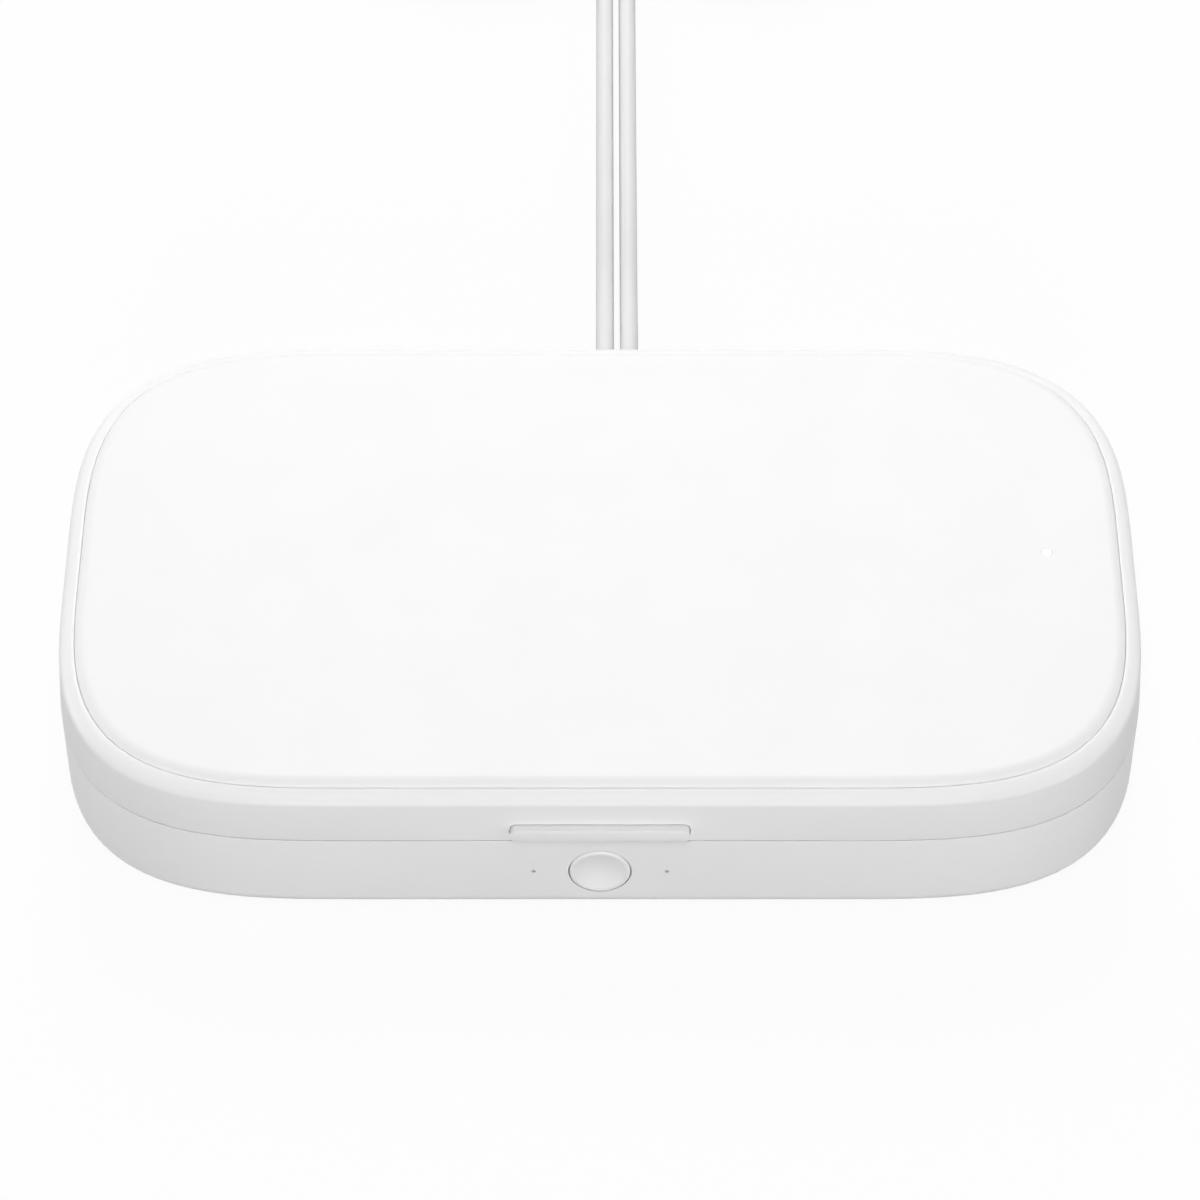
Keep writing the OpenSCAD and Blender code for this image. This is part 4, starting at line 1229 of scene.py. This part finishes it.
class BOX_OT_button(bpy.types.Operator):
    """Models the dished button cap with its bevelled rim"""

    bl_idname = "box.button"
    bl_label = "Button"

    def execute(self, context):
        t = trim()
        r = t.button_radius
        dish = r - 0.8 * MM
        steps = 20
        places = [(i + 0.2) / steps for i in range(steps)]
        bowl = [(dish * q, t.dish * (1 - q * q)) for q in places]
        # The rim from the dish to the side: radius, and distance behind the face
        rim = [(dish - 0.02 * MM, 0.03 * MM), (dish + 0.1 * MM, 0), (r - 0.38 * MM, 0)]
        rim += [(r - 0.18 * MM, 0.06 * MM), (r - 0.05 * MM, 0.2 * MM), (r, 0.4 * MM)]
        # The flange that keeps the cap in its bore
        inner = 2.75 * MM
        back = inner + 0.8 * MM
        flange = r + 0.9 * MM
        rim += [(r, inner), (flange, inner), (flange, back), (2.2 * MM, back)]
        place = (0, t.button_front, t.button_level)
        cap = turned("dished_button", bowl + rim, place, "Y", 96)
        hand_over(shade(cap, 40), "button", "button_white", ("button_cap",))
        return {"FINISHED"}


# ------------------------------------------------------------------ chamber


def cut_windows(piece, at, seat, through):
    """Cuts the seat and the opening of each pair of windows, between two levels each."""
    h = chamber()
    seat_grow, seat_corner = 0.1 * MM, 3 * MM
    for x in (-at, at):
        for name, grow, corner, levels in (
            ("seat", seat_grow, seat_corner, seat),
            ("opening", -h.pane_edge, 2 * MM, through),
        ):
            sizes = (h.pane_width / 2 + grow, h.pane_length / 2 + grow, corner, corner)
            ring = rounded(*sizes, 2.0, 8)
            cut(piece, prism(name, "Z", ring, levels, (x, h.centre_y, 0)))


class BOX_OT_tray(bpy.types.Operator):
    """Models the reflector tray with its flange, light lip and window seats"""

    bl_idname = "box.tray"
    bl_label = "Reflector tray"

    def execute(self, context):
        c = case()
        h = chamber()
        edge = 0.9 * MM
        fillet = 2.4 * MM
        soft = 0.15 * MM
        rim = c.ledge_wall + 0.1 * MM
        lip_out = h.lip_in + h.lip_wall
        section = [(h.wall - fillet, h.underside)]
        section += arc((h.wall - fillet, h.underside + fillet), fillet, 300, 360, 5)
        rings = chamber_rings(section + [(h.wall, c.ledge)])
        section = [(rim, c.ledge), (rim, c.seam), (h.lip_in, c.seam)]
        section += [(h.lip_in, h.lip - soft), (h.lip_in + soft, h.lip)]
        section += [(lip_out - soft, h.lip), (lip_out, h.lip - soft), (lip_out, c.seam)]
        rings += case_rings(section)
        section = arc((edge, c.seam - edge), edge, 90, 180, 6)
        section += arc((-fillet, h.floor + fillet), fillet, 360, 270, 8)
        tray = ring_body("reflector_tray", rings + chamber_rings(section))
        seat = (h.floor - h.pane, h.floor + MM)
        cut_windows(tray, h.base_pane_x, seat, (h.underside - MM, h.floor))
        self.hinge_notches(tray)
        hand_over(shade(tray), "base", "reflector", ("base_tray",))
        return {"FINISHED"}

    def hinge_notches(self, tray):
        c = case()
        t = trim()
        half = t.lid_knuckle / 2 + t.base_knuckle + 3 * t.running
        front = c.half_depth - c.wall - 0.2 * MM
        for centre in (-t.hinge_x, t.hinge_x):
            start = (centre - half, front, c.ledge - MM)
            end = (centre + half, c.half_depth + MM, chamber().lip + MM)
            cut(tray, block("notch", start, end))


class BOX_OT_seal(bpy.types.Operator):
    """Models the soft seal on the light lip"""

    bl_idname = "box.seal"
    bl_label = "Rim seal"

    def execute(self, context):
        h = chamber()
        bottom, top = (corner.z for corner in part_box("rim_seal"))
        half = h.lip_wall / 2 - 0.1 * MM
        rise = half * 0.8
        middle = h.lip_in + h.lip_wall / 2
        section = [(middle - half, bottom)]
        section += arc((middle, top - rise), (half, rise), 180, 0, 10)
        section += [(middle + half, bottom)]
        seal = ring_body("lip_seal", case_rings(section), closed=True)
        hand_over(shade(seal, 50), "base", "seal_rubber", ("rim_seal",))
        return {"FINISHED"}


class BOX_OT_liner(bpy.types.Operator):
    """Models the reflector of the lid with its window openings and screw seats"""

    bl_idname = "box.liner"
    bl_label = "Lid reflector"

    def execute(self, context):
        h = chamber()
        edge = 0.7 * MM
        fillet = 1.0 * MM
        play = 0.2 * MM
        rim = case().wall + play
        rings = chamber_rings([(h.wall, h.ceiling_top), (h.wall, h.liner_flange)])
        section = [(rim, h.liner_flange), (rim, h.liner + play), (rim + play, h.liner)]
        rings += case_rings(section)
        section = arc((edge, h.liner + edge), edge, 270, 180, 6)
        section += arc((-fillet, h.ceiling - fillet), fillet, 0, 90, 6)
        liner = ring_body("lid_reflector", rings + chamber_rings(section))
        seat = (h.ceiling_top - h.pane, h.ceiling_top + MM)
        cut_windows(liner, h.lid_pane_x, seat, (h.ceiling - MM, h.ceiling_top))
        self.screw_seats(liner)
        hand_over(shade(liner), "lid", "reflector", ("lid_liner",))
        return {"FINISHED"}

    def screw_seats(self, liner):
        """A shallow round seat for the head of each screw."""
        c = case()
        h = chamber()
        side = c.half_width - 5.85 * MM
        front = -c.half_depth + 6.85 * MM
        rear = c.half_depth - 5.85 * MM
        front_x, rear_x = 30 * MM, 16 * MM
        r = 2.0 * MM
        profile = [(r + 0.1 * MM, h.liner - MM), (r, h.liner + 0.1 * MM), (r, h.liner + MM)]
        for x, y in (
            (-side, h.centre_y), (side, h.centre_y), (-front_x, front),
            (front_x, front), (-rear_x, rear), (rear_x, rear),
        ):
            cut(liner, turned("screw_seat", profile, (x, y, 0), "Z", 32))


class BOX_OT_mat(bpy.types.Operator):
    """Models the non-slip mat under the base"""

    bl_idname = "box.mat"
    bl_label = "Non-slip mat"

    def execute(self, context):
        c = case()
        soft = 0.3 * MM
        section = arc((c.mat_in + soft, soft), soft, 270, 180, 5)
        section += [(c.mat_in, c.underside + c.mat_sunk - 0.02 * MM)]
        mat = ring_body("grip_mat", case_rings(section))
        hand_over(shade(mat, 50), "base", "seal_rubber", ("foot_mat",))
        return {"FINISHED"}


# ------------------------------------------------------------------ what stays from the frame

KEPT = {
    "clear_silicone": ("chamber_rails",),
    "quartz": ("base_windows", "lid_windows"),
    "circuit_board": ("base_uv_boards", "lid_uv_boards", "main_board", "charger_board"),
    "led_ceramic": ("base_uv_leds", "lid_uv_leds"),
    "black_plastic": ("board_parts", "switch_body", "switch_plunger"),
    "light_pipe": ("front_light_pipes",),
    "nickel": ("base_magnets", "lid_magnets"),
    "steel": ("tray_screws", "liner_screws", "hinge_pins"),
    "copper": ("charging_coil",),
    "ferrite": ("ferrite_sheet",),
}


class BOX_OT_inner_parts(bpy.types.Operator):
    """Finishes the windows, boards, emitters, fasteners and coil that keep their solids"""

    bl_idname = "box.inner_parts"
    bl_label = "Inner parts"

    def execute(self, context):
        for slot, nodes in KEPT.items():
            finish = FINISHES[slot]()
            for node in nodes:
                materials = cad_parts[node].data.materials
                materials.clear()
                materials.append(finish)
        return {"FINISHED"}


# ------------------------------------------------------------------ panel and start

OPERATORS = (
    BOX_OT_stage,
    BOX_OT_leads,
    BOX_OT_relief,
    BOX_OT_base_housing,
    BOX_OT_lid_housing,
    BOX_OT_top_plate,
    BOX_OT_status_light,
    BOX_OT_lift_tab,
    BOX_OT_button,
    BOX_OT_tray,
    BOX_OT_seal,
    BOX_OT_liner,
    BOX_OT_mat,
    BOX_OT_inner_parts,
)


class BOX_PT_sidebar(bpy.types.Panel):
    """Lists the steps that build the box"""

    bl_idname = "BOX_PT_sidebar"
    bl_label = "Cleaning Box"
    bl_space_type = "VIEW_3D"
    bl_region_type = "UI"
    bl_category = "Cleaning Box"

    def draw(self, context):
        for step in OPERATORS:
            self.layout.operator(step.bl_idname)


def register():
    for group in SETTINGS.values():
        bpy.utils.register_class(group)
    for name, group in SETTINGS.items():
        setattr(bpy.types.Scene, name, bpy.props.PointerProperty(type=group))
    for step in OPERATORS:
        bpy.utils.register_class(step)
    bpy.utils.register_class(BOX_PT_sidebar)


def unregister():
    bpy.utils.unregister_class(BOX_PT_sidebar)
    for step in reversed(OPERATORS):
        bpy.utils.unregister_class(step)
    for name in SETTINGS:
        delattr(bpy.types.Scene, name)
    for group in SETTINGS.values():
        bpy.utils.unregister_class(group)


def main():
    register()
    bpy.ops.object.select_all(action="DESELECT")
    for step in OPERATORS:
        group, action = step.bl_idname.split(".")
        getattr(getattr(bpy.ops, group), action)()


if __name__ == "__main__":
    main()
